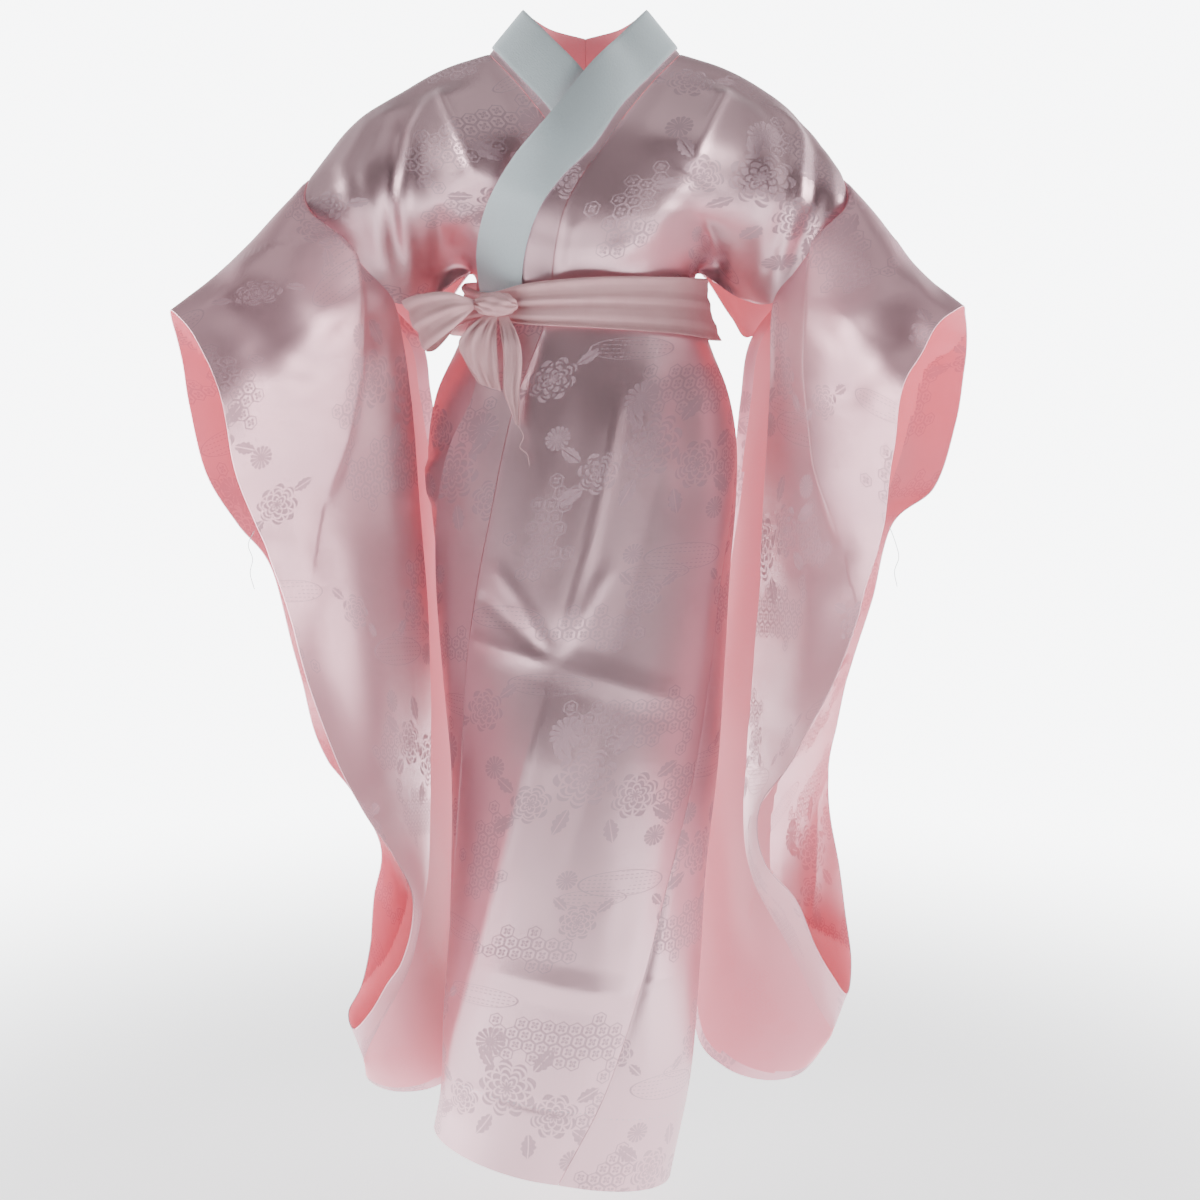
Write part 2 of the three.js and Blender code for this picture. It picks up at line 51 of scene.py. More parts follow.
figure = {
    # z, half width, depth in front, depth behind, sideways shift, slope along x
    "rows": [
      [-1290, 137, 103, 98, -36, -0.21],
      [-1180, 140, 102, 101, -16, -0.12],
      [-1060, 142, 102, 103, -8, -0.05],
      [-940, 145, 102, 105, -4, 0],
      [-820, 152, 104, 108, 2, 0],
      [-700, 160, 106, 112, 1, 0],
      [-600, 167, 109, 115, -1, 0],
      [-520, 174, 111, 118, -2, 0],
      [-450, 176, 111, 116, -3, 0],
      [-390, 166, 107, 106, -3, 0],
      [-340, 144, 102, 94, -2, 0],
      [-290, 124, 98, 90, 0, 0],
    ],
    "aboveBelt": [122, 98, 90, 0, 0],
    # left side seam, upper seam, upper edge, right side seam, under seam, under edge, centre back
    "wrap": [
      [2, -118, -146, -52, 80, 106, 165],
      [16, -104, -132, -56, 74, 100, 168],
      [30, -91, -118, -62, 68, 94, 171],
      [43, -78, -105, -66, 62, 88, 173],
      [53, -65, -93, -70, 55, 82, 175],
      [62, -54, -85, -76, 48, 76, 177],
      [68, -43, -76, -80, 40, 70, 178],
      [75, -34, -65, -84, 34, 64, 179],
      [80, -28, -54, -86, 30, 56, 180],
      [84, -24, -44, -88, 26, 50, 180],
      [87, -20, -48, -90, 22, 50, 180],
      [90, -16, -58, -90, 16, 58, 180],
    ],
}
chest = {
    "front": [
      [[-35, -103, -262], [50, -99, -262], [105, -54, -256], [123, -8, -253], [128, 4, -254]],
      [[-30, -116, -225], [50, -116, -230], [118, -62, -228], [143, 4, -240], [175, 0, -282]],
      [[-20, -129, -188], [60, -129, -195], [126, -74, -202], [164, -12, -238], [210, -35, -288]],
      [[-4, -126, -158], [70, -124, -172], [132, -85, -190], [182, -48, -220], [232, -52, -255]],
      [[17, -117, -128], [86, -114, -148], [148, -92, -172], [202, -75, -198], [253, -68, -226]],
      [[45, -94, -88], [106, -98, -113], [165, -92, -140], [222, -90, -168], [275, -80, -198]],
      [[76, -55, -48], [130, -58, -76], [182, -66, -104], [236, -74, -134], [286, -78, -178]],
      [[105, -10, -15], [155, -4, -31], [201, -8, -56], [246, -24, -92], [285, -55, -155]],
    ],
    "back": [
      [[94, 34, -17], [142, 32, -37], [191, 27, -64], [246, 18, -106], [288, -15, -165]],
      [[58, 68, -27], [116, 68, -52], [178, 62, -90], [232, 48, -136], [275, 20, -205]],
      [[0, 82, -35], [76, 95, -72], [150, 88, -130], [206, 72, -184], [248, 50, -258]],
      [[0, 104, -110], [66, 108, -132], [124, 96, -172], [166, 82, -232], [195, 72, -325]],
      [[0, 108, -185], [60, 104, -196], [112, 84, -212], [144, 60, -248], [168, 48, -302]],
      [[0, 93, -240], [60, 84, -244], [99, 56, -248], [118, 28, -249], [129, 14, -248]],
    ],
    "collarEdge": [
      [-116, -68, -238],
      [-108, -88, -197],
      [-93, -103, -165],
      [-70, -112, -130],
      [-36, -109, -90],
      [5, -76, -36],
      [36, -36, -1],
      [66, 10, 34],
      [60, 48, 34],
      [38, 84, 26],
      [0, 98, 18],
    ],
    "tuck": [1, 1, 1, 1, 1, 1, 0.35, 0],
    "tuckShare": [1, 1, 0.57, 0.02, 0],
    "collarBulge": [11, 10, 9, 6, 4, 3, 2, 0],
    "armSpread": 18,
}
sleeve = {
    "top": {
      "left": [
        [[345, -115, -245], [395, -190, -295]],
        [[335, -148, -262], [382, -203, -302]],
        [[322, -155, -272], [370, -210, -312]],
        [[308, -160, -290], [357, -217, -328]],
        [[292, -158, -312], [345, -225, -348]],
        [[275, -150, -340], [332, -233, -378]],
      ],
      "right": [
        [[-370, -115, -240], [-430, -190, -298]],
        [[-358, -148, -258], [-418, -203, -306]],
        [[-342, -155, -270], [-405, -210, -320]],
        [[-327, -160, -293], [-393, -218, -340]],
        [[-312, -158, -318], [-382, -225, -362]],
        [[-295, -150, -345], [-372, -233, -392]],
      ],
    },
    "backTop": {
      "left": [
        [[345, -75, -246], [399, -176, -302]],
        [[335, -50, -280], [403, -166, -319]],
        [[320, -40, -315], [404, -162, -340]],
        [[308, -32, -345], [402, -160, -364]],
      ],
      "right": [
        [[-362, -80, -246], [-431, -182, -308]],
        [[-350, -55, -285], [-428, -172, -328]],
        [[-335, -42, -325], [-424, -165, -355]],
        [[-322, -35, -360], [-418, -165, -400]],
      ],
    },
    "rows": {
      "left": [
        [[209, -22, -385], [270, -140, -412], [327, -230, -440]],
        [[205, -15, -500], [262, -140, -508], [318, -215, -520]],
        [[200, -10, -625], [248, -135, -615], [292, -215, -605]],
        [[191, -5, -745], [230, -130, -722], [260, -215, -695]],
        [[189, 0, -840], [206, -125, -808], [217, -215, -775]],
        [[190, 0, -910], [187, -120, -866], [187, -215, -822]],
        [[201, 0, -960], [196, -115, -920], [195, -215, -880]],
        [[224, 0, -1007], [224, -110, -965], [228, -205, -927]],
        [[249, 0, -1060], [250, -105, -1018], [250, -195, -980]],
        [[270, 5, -1112], [270, -95, -1068], [270, -180, -1017]],
        [[284, 12, -1146], [286, -80, -1100], [289, -165, -1043]],
        [[280, 27, -1180], [290, -55, -1116], [295, -150, -1010]],
        [[255, 45, -1215], [284, -30, -1116], [291, -126, -965]],
        [[214, 65, -1228], [260, -8, -1090], [284, -112, -912]],
        [[170, 88, -1220], [236, 12, -1045], [272, -106, -858]],
        [[138, 120, -1190], [218, 30, -988], [266, -106, -805]],
        [[130, 146, -1090], [216, 40, -895], [275, -115, -748]],
        [[135, 150, -900], [228, 40, -785], [294, -130, -675]],
        [[146, 142, -745], [242, 30, -680], [310, -150, -608]],
        [[163, 125, -605], [262, 15, -572], [324, -180, -522]],
        [[176, 105, -490], [284, 0, -488], [370, -178, -484]],
        [[183, 88, -400], [300, -20, -412], [394, -164, -416]],
      ],
      "right": [
        [[-197, -22, -392], [-284, -140, -430], [-361, -231, -460]],
        [[-190, -15, -508], [-268, -140, -520], [-340, -215, -526]],
        [[-182, -10, -625], [-250, -135, -615], [-312, -215, -605]],
        [[-180, -5, -745], [-234, -130, -725], [-285, -215, -700]],
        [[-183, 0, -850], [-212, -125, -825], [-244, -215, -805]],
        [[-186, 0, -935], [-192, -120, -906], [-202, -212, -880]],
        [[-194, 0, -1000], [-184, -120, -960], [-182, -220, -922]],
        [[-205, 0, -1055], [-195, -115, -1015], [-193, -215, -985]],
        [[-220, 0, -1097], [-214, -110, -1055], [-213, -205, -1020]],
        [[-242, 5, -1147], [-234, -98, -1096], [-232, -188, -1055]],
        [[-263, 12, -1195], [-254, -80, -1144], [-254, -166, -1083]],
        [[-255, 27, -1220], [-252, -55, -1160], [-262, -150, -1068]],
        [[-225, 45, -1236], [-232, -30, -1168], [-250, -128, -1045]],
        [[-182, 65, -1236], [-206, -8, -1150], [-241, -112, -1003]],
        [[-146, 88, -1212], [-192, 12, -1096], [-234, -104, -948]],
        [[-124, 120, -1145], [-186, 30, -1014], [-229, -102, -893]],
        [[-120, 148, -1025], [-192, 40, -920], [-254, -110, -830]],
        [[-130, 150, -850], [-220, 40, -810], [-290, -125, -765]],
        [[-148, 140, -700], [-245, 30, -686], [-314, -146, -670]],
        [[-163, 120, -572], [-266, 15, -578], [-332, -175, -570]],
        [[-175, 102, -465], [-288, 0, -500], [-366, -185, -522]],
        [[-183, 86, -390], [-306, -20, -432], [-400, -175, -470]],
      ],
    },
}
halfCollar = {
    "cover": 58, "lift": 2.6, "thickness": 2.4, "spacing": 5, "neckDepth": 30,
    "ripple": (60, 0.5, 51), "edgeDip": 0.5, "dipWidth": 1.6,
}
belt = {
    # angle, top z, bottom z, distance out
    "edges": [
      [-180, -258, -322, 9],
      [-145, -259, -324, 10],
      [-115, -263, -325, 16],
      [-90, -266, -322, 15],
      [-66, -272, -312, 18],
      [-48, -277, -306, 18],
      [-25, -268, -312, 18],
      [5, -262, -316, 17],
      [40, -261, -322, 16],
      [68, -261, -328, 14],
      [90, -261, -330, 13],
      [140, -259, -326, 11],
    ],
    "middleZ": -290.0, "gatherAt": -45, "gatherWidth": 60,
    # count across, sway, its wave and rate, height, more near the knot
    "pleats": [(19, 0.6, np.sin, 1.0, 0.7, 1.5), (33, 1.3, np.cos, 0.7, 0.4, 0.8)],
    "knot": {"centre": (-96, -106, -291), "halfSize": (23, 11, 13), "around": 96, "along": 49, "poleGap": 0.06},
    "strip": {
        "pieces": {"belt_loop": "loop", "belt_short_tail": "shortTail", "belt_long_tail": "longTail"},
        "spacing": 1.6, "bow": 1.5, "pleats": (15, 3, 2.5, 1.6, 0.6), "finePleats": (31, 4, 0.5),
    },
    "loop": [
      [[-119.5, -107.6, -291], [0, 5]],
      [[-143, -122, -296], [5, 18]],
      [[-170, -116, -306], [10, 25]],
      [[-185, -100, -314], [12, 27]],
      [[-176, -84, -314], [12, 26]],
      [[-158, -82, -306], [8, 20]],
      [[-140, -90, -298], [3, 11]],
      [[-119.5, -104, -292], [0, 4]],
    ],
    "shortTail": [
      [[-101, -107, -303.6], [7, 1]],
      [[-111, -114, -322], [16, 4]],
      [[-115, -113, -341], [21, 7]],
      [[-110, -108, -363], [17, 7]],
      [[-103, -105, -380], [12, 4]],
    ],
    "longTail": [
      [[-87.5, -107, -304], [5.5, 0]],
      [[-80, -119, -326], [9, 0]],
      [[-77, -120, -350], [10, 0]],
      [[-79, -119, -382], [9, 1]],
      [[-76, -118, -402], [6, 2]],
      [[-73, -117, -420], [2, 1]],
    ],
    "thickness": 0.8,
}

# Folds: kind, half width, height, then the line it follows as (x, z)
# A roof is a pressed crease with flat sides. A soft fold is a rounded ridge, or a trough below 0.
# A step is an overhanging fold: gentle to the left of its line, steep to the right.

creases = {
    "upperCrease": [(41, -377), (21, -470), (1, -557), (-32, -680)],
    "lowerCrease": [(-32, -682), (-72, -839), (-107, -988), (-140, -1117), (-167, -1224)],
    "leftShoulder": [(159, -53), (131, -104), (107, -152)],
    "rightShoulder": [(-163, -52), (-140, -99), (-107, -164)],
}
folds = {
    "bodyLeftFront": [
        ("roof", 60, 10, creases["upperCrease"]),
        ("soft", 9, 2.2, creases["upperCrease"]),
        ("roof", 70, 12, creases["lowerCrease"]),
        ("soft", 6, 1.4, creases["lowerCrease"]),
        ("roof", 26, 2.4, [(-127, -658), (-32, -682), (61, -714), (145, -739)]),
        ("roof", 26, 2.4, [(-132, -1036), (-33, -1054), (62, -1070), (130, -1071)]),
        ("soft", 4, -1.4, [(-151, -1180), (-75, -1194), (14, -1209)]),
        ("soft", 8, 1.8, [(-32, -681), (-71, -613), (-106, -569)]),
        ("soft", 8, -1.6, [(-32, -681), (-82, -641), (-126, -602)]),
        ("soft", 8, 1.4, [(-32, -681), (6, -613), (30, -569)]),
        ("soft", 7, 1.6, [(-32, -681), (-93, -669), (-137, -658)]),
        ("roof", 60, 13, creases["leftShoulder"]),
        ("soft", 6, 2, creases["leftShoulder"]),
        ("soft", 7, 4.5, [(191, -68), (219, -81), (238, -107), (232, -177), (210, -275)]),
        ("soft", 9, -4.5, [(208, -65), (241, -86), (255, -118), (250, -188), (222, -275)]),
        ("soft", 13, 3.5, [(170, -65), (197, -102), (203, -177), (190, -269)]),
        ("soft", 11, 3.5, [(267, -135), (270, -178), (249, -242)]),
        ("soft", 8, -4.5, [(118, -216), (135, -212), (151, -231), (151, -281)]),
        ("soft", 14, 3, [(113, -149), (71, -217), (17, -246)]),
        ("soft", 8, 2, [(-10, -195), (-20, -232), (-27, -262)]),
        ("soft", 15, 1.3, [(-43, -313), (-54, -372), (-59, -448)]),
        ("soft", 18, -1.4, [(-10, -318), (-20, -394), (-27, -490)]),
        ("soft", 16, 1.4, [(71, -329), (77, -394), (91, -490)]),
        ("soft", 19, -1.5, [(98, -331), (108, -416), (112, -540)]),
        ("soft", 16, 1.6, [(117, -331), (133, -416), (143, -545)]),
        ("soft", 14, 1, [(28, -324), (60, -372), (66, -430)]),
        ("soft", 22, 1.8, [(153, -427), (151, -525), (141, -636)]),
        ("soft", 18, -1.1, [(62, -793), (53, -907), (42, -1023)]),
        ("soft", 16, 1.2, [(24, -930), (14, -1070), (0, -1199)]),
        ("soft", 15, -0.9, [(-28, -793), (-45, -907), (-62, -1023)]),
        ("soft", 16, 1.4, [(56, -1070), (38, -1164), (20, -1275)]),
    ],
    "bodyRightFront": [
        ("roof", 60, 12, creases["rightShoulder"]),
        ("soft", 6, 2, creases["rightShoulder"]),
        ("soft", 8, 4, [(-162, -59), (-187, -103), (-197, -179), (-198, -281)]),
        ("soft", 8, -4.5, [(-170, -70), (-201, -107), (-211, -177), (-207, -269)]),
        ("soft", 11, 3.5, [(-181, -63), (-215, -89), (-237, -147), (-223, -231), (-208, -277)]),
        ("soft", 10, 3, [(-200, -71), (-237, -96), (-260, -142), (-246, -210)]),
        ("soft", 9, -3, [(-156, -179), (-165, -232), (-173, -275)]),
        ("soft", 10, 3, [(-132, -179), (-140, -222), (-146, -270)]),
        ("step", 60, 6, [(-192, -474), (-155, -520)]),
        ("soft", 19, 1.8, [(-172, -380), (-170, -450), (-166, -560)]),
        ("soft", 16, -1.4, [(-162, -620), (-158, -760), (-150, -900)]),
        ("soft", 16, 1.4, [(-148, -800), (-146, -940), (-150, -1100)]),
    ],
    "bodyLeftBack": [
        ("soft", 27, 3.1, [(120, -70), (150, -140), (160, -230)]),
        ("soft", 19, -2.7, [(150, -70), (185, -150), (200, -250)]),
        ("soft", 22, 3.6, [(190, -110), (215, -190), (222, -290)]),
        ("soft", 24, 1.8, [(60, -60), (70, -140), (64, -240)]),
        ("soft", 20, -1.8, [(96, -120), (100, -190), (92, -245)]),
        ("soft", 22, 1.8, [(90, -340), (96, -440), (88, -600)]),
        ("soft", 20, -1.8, [(50, -340), (48, -450), (55, -640)]),
        ("soft", 20, 1.8, [(20, -350), (16, -470), (22, -620)]),
        ("roof", 40, 4, [(70, -640), (74, -900), (66, -1250)]),
        ("roof", 6, 0.7, [(10, -700), (80, -706), (130, -716)]),
        ("roof", 6, 0.7, [(0, -1050), (70, -1056), (120, -1050)]),
    ],
    "bodyRightBack": [
        ("soft", 27, 3.1, [(-125, -75), (-146, -140), (-158, -230)]),
        ("soft", 19, -2.7, [(-152, -75), (-180, -150), (-196, -250)]),
        ("soft", 22, 4, [(-188, -110), (-222, -190), (-226, -290)]),
        ("soft", 24, 1.8, [(-56, -60), (-66, -140), (-70, -240)]),
        ("soft", 20, -1.8, [(-92, -120), (-104, -190), (-90, -245)]),
        ("soft", 22, 1.8, [(-96, -340), (-90, -440), (-96, -600)]),
        ("soft", 20, -1.8, [(-54, -340), (-46, -450), (-52, -640)]),
        ("soft", 20, 1.8, [(-22, -350), (-18, -470), (-14, -620)]),
        ("roof", 40, 4, [(-74, -640), (-80, -900), (-92, -1250)]),
        ("roof", 6, 0.7, [(-10, -702), (-80, -708), (-136, -712)]),
        ("roof", 6, 0.7, [(-20, -1052), (-80, -1058), (-140, -1050)]),
    ],
    "sleeveRightFront": [
        ("step", 66, 21, [(-279, -500), (-269, -437), (-258, -370), (-256, -287), (-266, -213), (-294, -162)]),
        ("soft", 24, 8, [(-379, -248), (-332, -279), (-275, -324)]),
        ("soft", 20, -6, [(-389, -287), (-340, -319), (-290, -377)]),
        ("soft", 20, 3.6, [(-326, -220), (-316, -300), (-312, -400)]),
        ("soft", 18, 3.6, [(-371, -286), (-360, -361), (-342, -448)]),
        ("soft", 18, 3.6, [(-221, -319), (-216, -448), (-211, -569)]),
        ("soft", 22, 3.6, [(-257, -525), (-245, -657), (-227, -792)]),
        ("soft", 21, -3.6, [(-290, -569), (-270, -680), (-237, -815)]),
        ("soft", 20, 3, [(-310, -470), (-299, -569), (-281, -657)]),
        ("soft", 17, 2.4, [(-358, -534), (-312, -547), (-269, -613)]),
        ("soft", 17, 2.4, [(-200, -815), (-204, -906), (-199, -987)]),
    ],
    "sleeveLeftFront": [
        ("step", 66, 21, [(279, -159), (265, -213), (255, -287), (255, -363), (264, -458), (280, -551)]),
        ("soft", 24, 8, [(370, -272), (323, -298), (275, -329)]),
        ("soft", 20, -6, [(360, -319), (313, -350), (277, -403)]),
        ("soft", 20, 3.6, [(318, -212), (322, -286), (314, -372), (318, -440)]),
        ("soft", 17, 3, [(372, -290), (366, -360), (352, -440)]),
        ("soft", 21, 3, [(311, -415), (305, -503), (288, -613)]),
        ("soft", 21, -3, [(214, -569), (211, -680), (197, -792)]),
        ("soft", 20, 3, [(258, -569), (246, -657), (219, -769)]),
        ("soft", 18, 3, [(235, -448), (225, -569), (205, -702)]),
        ("soft", 17, 2.4, [(334, -528), (302, -547), (270, -613)]),
        ("soft", 17, 3, [(186, -815), (192, -929), (231, -1045)]),
    ],
    "sleeveRightBack": [
        ("soft", 25, 4.2, [(-240, -380), (-236, -520), (-216, -700)]),
        ("soft", 21, -4.2, [(-290, -380), (-280, -520), (-250, -700)]),
        ("soft", 22, 4.2, [(-340, -360), (-320, -500), (-284, -660)]),
        ("soft", 20, -3.6, [(-195, -420), (-186, -600), (-166, -800)]),
        ("roof", 29, 6.8, [(-300, -700), (-262, -850), (-236, -1000)]),
        ("soft", 21, -3.6, [(-220, -760), (-200, -900), (-190, -1080)]),
        ("soft", 20, 3.6, [(-150, -760), (-150, -900), (-170, -1100)]),
    ],
    "sleeveLeftBack": [
        ("soft", 25, 4.2, [(236, -380), (234, -520), (214, -700)]),
        ("soft", 21, -4.2, [(284, -380), (276, -520), (246, -700)]),
        ("soft", 22, 4.2, [(336, -360), (316, -500), (276, -640)]),
        ("soft", 20, -3.6, [(192, -420), (182, -600), (162, -800)]),
        ("roof", 29, 6.8, [(290, -700), (258, -850), (262, -1000)]),
        ("soft", 21, -3.6, [(214, -760), (198, -900), (200, -1080)]),
        ("soft", 20, 3.6, [(150, -760), (158, -900), (190, -1100)]),
    ],
}


# Grids of points

def between(a, b, c, d, t):
    squared, cubed = 2 * a - 5 * b + 4 * c - d, 3 * b - a - 3 * c + d
    return 0.5 * (2 * b + t * (c - a) + t * t * squared + t ** 3 * cubed)


def curveAt(points, u, closed=False):  # smooth curve through points, u from 0 to 1
    points = np.asarray(points, dtype=float)
    spans = len(points) if closed else len(points) - 1
    place = np.atleast_1d(u) * spans
    i = np.clip(np.floor(place).astype(int), 0, spans - 1)
    t = (place - i).reshape((-1,) + (1,) * (points.ndim - 1))
    if closed:
        padded = np.concatenate([points[-1:], points, points[:2]])
    else:
        padded = np.concatenate([2 * points[:1] - points[1:2], points, 2 * points[-1:] - points[-2:-1]])
    return between(padded[i], padded[i + 1], padded[i + 2], padded[i + 3], t)


def acrossRow(points, divisions, startInset, endInset):
    steps = np.diff(curveAt(points, np.linspace(0, 1, 41)), axis=0)
    length = np.linalg.norm(steps, axis=1).sum()
    return curveAt(points, np.linspace(startInset / length, 1 - endInset / length, divisions + 1))


def gridFrom(rows, divisions, startInset=0, endInset=0):
    return np.array([acrossRow(row, divisions, startInset, endInset) for row in rows])


def smooth(t):
    s = np.clip(t, 0, 1)
    return s * s * (3 - 2 * s)


def onFigure(row, angle, lift=0):
    z, half, front, back, shift, slope = row
    turn = np.radians(angle)
    depth = (front if np.cos(turn) > 0 else back) + lift
    across = (half + lift) * np.sin(turn)
    return np.array([shift + across, -depth * np.cos(turn), z + slope * across])


def skirtRow(i, start, end, lift, seam):
    angles = [start + (end - start) * k / 8 for k in range(9)]
    return [onFigure(figure["rows"][i], a, lift * smooth(abs(a - seam) / 22)) for a in angles]


def mirrored(point):
    x, y, z = point
    return [-x - chest["armSpread"] * max(0, (abs(x) - 200) / 85), y, z]


def frontRow(i, side):
    if side == "left":
        return np.array(chest["front"][i], dtype=float)
    row = np.array([mirrored(p) for p in chest["front"][i]], dtype=float)
    row[:, 1] += cloth["layer"] * chest["tuck"][i] * np.array(chest["tuckShare"])
    return row


def backRow(i, side):
    return np.array([p if side == "left" else mirrored(p) for p in chest["back"][i]], dtype=float)


skirtCount = len(figure["rows"])
frontCount = len(chest["front"])
backCount = len(chest["back"])


def bodyRows(side):
    left = side == "left"
    front, back = [], []
    for i in range(skirtCount):
        leftSide, upperSeam, _, rightSide, underSeam, _, centre = figure["wrap"][i]
        if left:
            front.append(skirtRow(i, upperSeam, leftSide, cloth["layer"], leftSide))
            back.append(skirtRow(i, centre, leftSide, 0, leftSide))
        else:
            front.append(skirtRow(i, underSeam, rightSide, -cloth["layer"], rightSide))
            back.append(skirtRow(i, centre - 360, rightSide, 0, rightSide))
    middle = [frontRow(i, side) for i in range(frontCount)]
    middle += [backRow(i, side) for i in range(backCount)]
    return front + middle + back[::-1]


def collarRows(side):
    left = side == "left"
    rows = []
    for i, ring in enumerate(figure["rows"]):
        _, upperSeam, upperEdge, _, underSeam, underEdge, _ = figure["wrap"][i]
        start, end = (upperSeam, upperEdge) if left else (underSeam, underEdge)
        lift = cloth["layer"] if left else -cloth["layer"]
        rows.append(np.array([onFigure(ring, start + (end - start) * t, lift) for t in (0, 0.5, 1)]))
    seams = [frontRow(i, side)[0] for i in range(frontCount)] + [backRow(i, side)[0] for i in range(3)]
    for i, seam in enumerate(seams):
        edge = np.array(chest["collarEdge"][i] if left else mirrored(chest["collarEdge"][i]), dtype=float)
        if not left and i < frontCount:
            edge[1] += cloth["layer"] * chest["tuck"][i]
        middle = (seam + edge) / 2
        if i < frontCount:
            middle[1] -= chest["collarBulge"][i]
        rows.append(np.array([seam, middle, edge]))
    rows[-1][:, 0] = cloth["seamInset"] if left else -cloth["seamInset"]
    return rows


def halfCollarStrip():
    up = collarRows("left")[skirtCount - 1:]
    down = collarRows("right")[skirtCount + cloth["underStart"]:-1][::-1]
    strip = []
    for row in up + down:
        width = np.linalg.norm(np.diff(row, axis=0), axis=1).sum()
        start = max(0.06, 1 - halfCollar["cover"] / width)
        strip.append(curveAt(row, np.linspace(start, 1, 3)))
    return np.array(strip)


def sleeveRows(side):
    front = [frontRow(i, side)[4] for i in (7, 6, 5, 4, 3, 2)]
    back = [backRow(i, side)[4] for i in (3, 2, 1, 0)]
    top = [np.array([seam, *sleeve["top"][side][i]], dtype=float) for i, seam in enumerate(front)]
    behind = [np.array([seam, *sleeve["backTop"][side][3 - i]], dtype=float) for i, seam in enumerate(back)]
    return top + [np.array(row, dtype=float) for row in sleeve["rows"][side]] + behind


def gridNormals(grid, closed):
    if closed:
        along = np.roll(grid, -1, axis=0) - np.roll(grid, 1, axis=0)
    else:
        along = np.gradient(grid, axis=0)
    normals = np.cross(along, np.gradient(grid, axis=1))
    return normals / np.maximum(np.linalg.norm(normals, axis=2, keepdims=True), 1e-9)


def depthOf(x, z, others, sign):  # y of the other cloth at (x, z), the deepest for sign 1
    found = []
    for grid in others:
        a, b, c, d = grid[:-1, :-1], grid[1:, :-1], grid[1:, 1:], grid[:-1, 1:]
        for p, q, r in ((a, b, c), (a, c, d)):
            qx, qy, qz = np.moveaxis(q - p, -1, 0)
            rx, ry, rz = np.moveaxis(r - p, -1, 0)
            dx, dz = x - p[..., 0], z - p[..., 2]
            area = qx * rz - rx * qz
            s, t = (dx * rz - rx * dz) / area, (qx * dz - dx * qz) / area
            y = p[..., 1] + s * qy + t * ry
            found.extend(y[(s >= 0) & (t >= 0) & (s + t <= 1)])
    return max(found, key=lambda value: value * sign) if found else None


def press(grid, others, clearance, sign):  # push points behind (1) or in front of (-1) the other cloth
    around = [(0, 0), (0.5, 0), (-0.5, 0), (0, 0.5), (0, -0.5), (1, 0), (-1, 0), (0, 1), (0, -1)]
    ease = cloth["ease"]
    for point in grid.reshape(-1, 3):
        for dx, dz in around:
            depth = depthOf(point[0] + dx * ease, point[2] + dz * ease, others, sign)
            if depth is not None:
                limit = depth * sign + clearance - np.hypot(dx, dz) * ease * cloth["easeSlope"]
                point[1] = max(point[1] * sign, limit) * sign


def fineGrid(grid, spacing, closed=False, edgeColumns=(1.2, 3.0)):
    # finer rows and columns on the same surface; also gives each fine row's place among the coarse rows
    width = np.linalg.norm(np.diff(grid, axis=1), axis=2).sum(axis=1).mean()
    count = max(3, round(width / spacing))
    near = np.array(edgeColumns) / width
    across = np.unique(np.concatenate([np.linspace(0, 1, count + 1), near, 1 - near]))
    wide = np.swapaxes(curveAt(np.swapaxes(grid, 0, 1), across), 0, 1)
    ahead = np.roll(grid, -1, axis=0) if closed else grid[1:]
    spans = np.linalg.norm(ahead - (grid if closed else grid[:-1]), axis=2).mean(axis=1)
    steps = np.maximum(1, np.round(spans / spacing).astype(int))
    places = np.concatenate([i + np.arange(n) / n for i, n in enumerate(steps)])
    if not closed:
        places = np.append(places, len(spans))
    return curveAt(wide, places / len(spans), closed), places, across


def foldHeight(points, table):
    flat = points.reshape(-1, 3)[:, [0, 2]]
    height = np.zeros(len(flat))
    for kind, width, rise, path in table:
        path = np.array(path, dtype=float)
        lengths = np.linalg.norm(np.diff(path, axis=0), axis=1)
        best = np.full(len(flat), 1e9)
        side = np.zeros(len(flat))
        along = np.zeros(len(flat))
        run = 0
        for a, b, length in zip(path[:-1], path[1:], lengths):
            t = np.clip((flat - a) @ (b - a) / length ** 2, 0, 1)
            away = np.linalg.norm(flat - a - t[:, None] * (b - a), axis=1)
            closer = away < best
            cross = (b - a)[0] * (flat - a)[:, 1] - (b - a)[1] * (flat - a)[:, 0]
            side = np.where(closer, cross, side)
            best = np.where(closer, away, best)
            along = np.where(closer, (run + t * length) / lengths.sum(), along)
            run += length
        fade = smooth(along * 4 + 0.15) * smooth((1 - along) * 4 + 0.15)
        if kind == "roof":
            shape = np.clip(1 - best / width, 0, 1) ** 1.15
        elif kind == "step":
            shape = np.exp(-(best / np.where(side > 0, width, cloth["stepWidth"])) ** 2)
        else:
            shape = np.exp(-(best / width) ** 2)
        height += rise * shape * fade
    return height.reshape(points.shape[:2])


def ripple(points, size, height, seed):  # small uneven waves all over
    rng = np.random.default_rng(seed)
    total = np.zeros(points.shape[:2])
    for _ in range(7):
        way = rng.normal(size=3) * np.array([1.6, 1.0, 0.45])
        total += np.sin(points @ (way / size) + rng.uniform(0, 6.28))
    return total * height / 7


# Cloth meshes

def placed(name, data):
    thing = bpy.data.objects.new(name, data)
    bpy.context.scene.collection.objects.link(thing)
    return thing


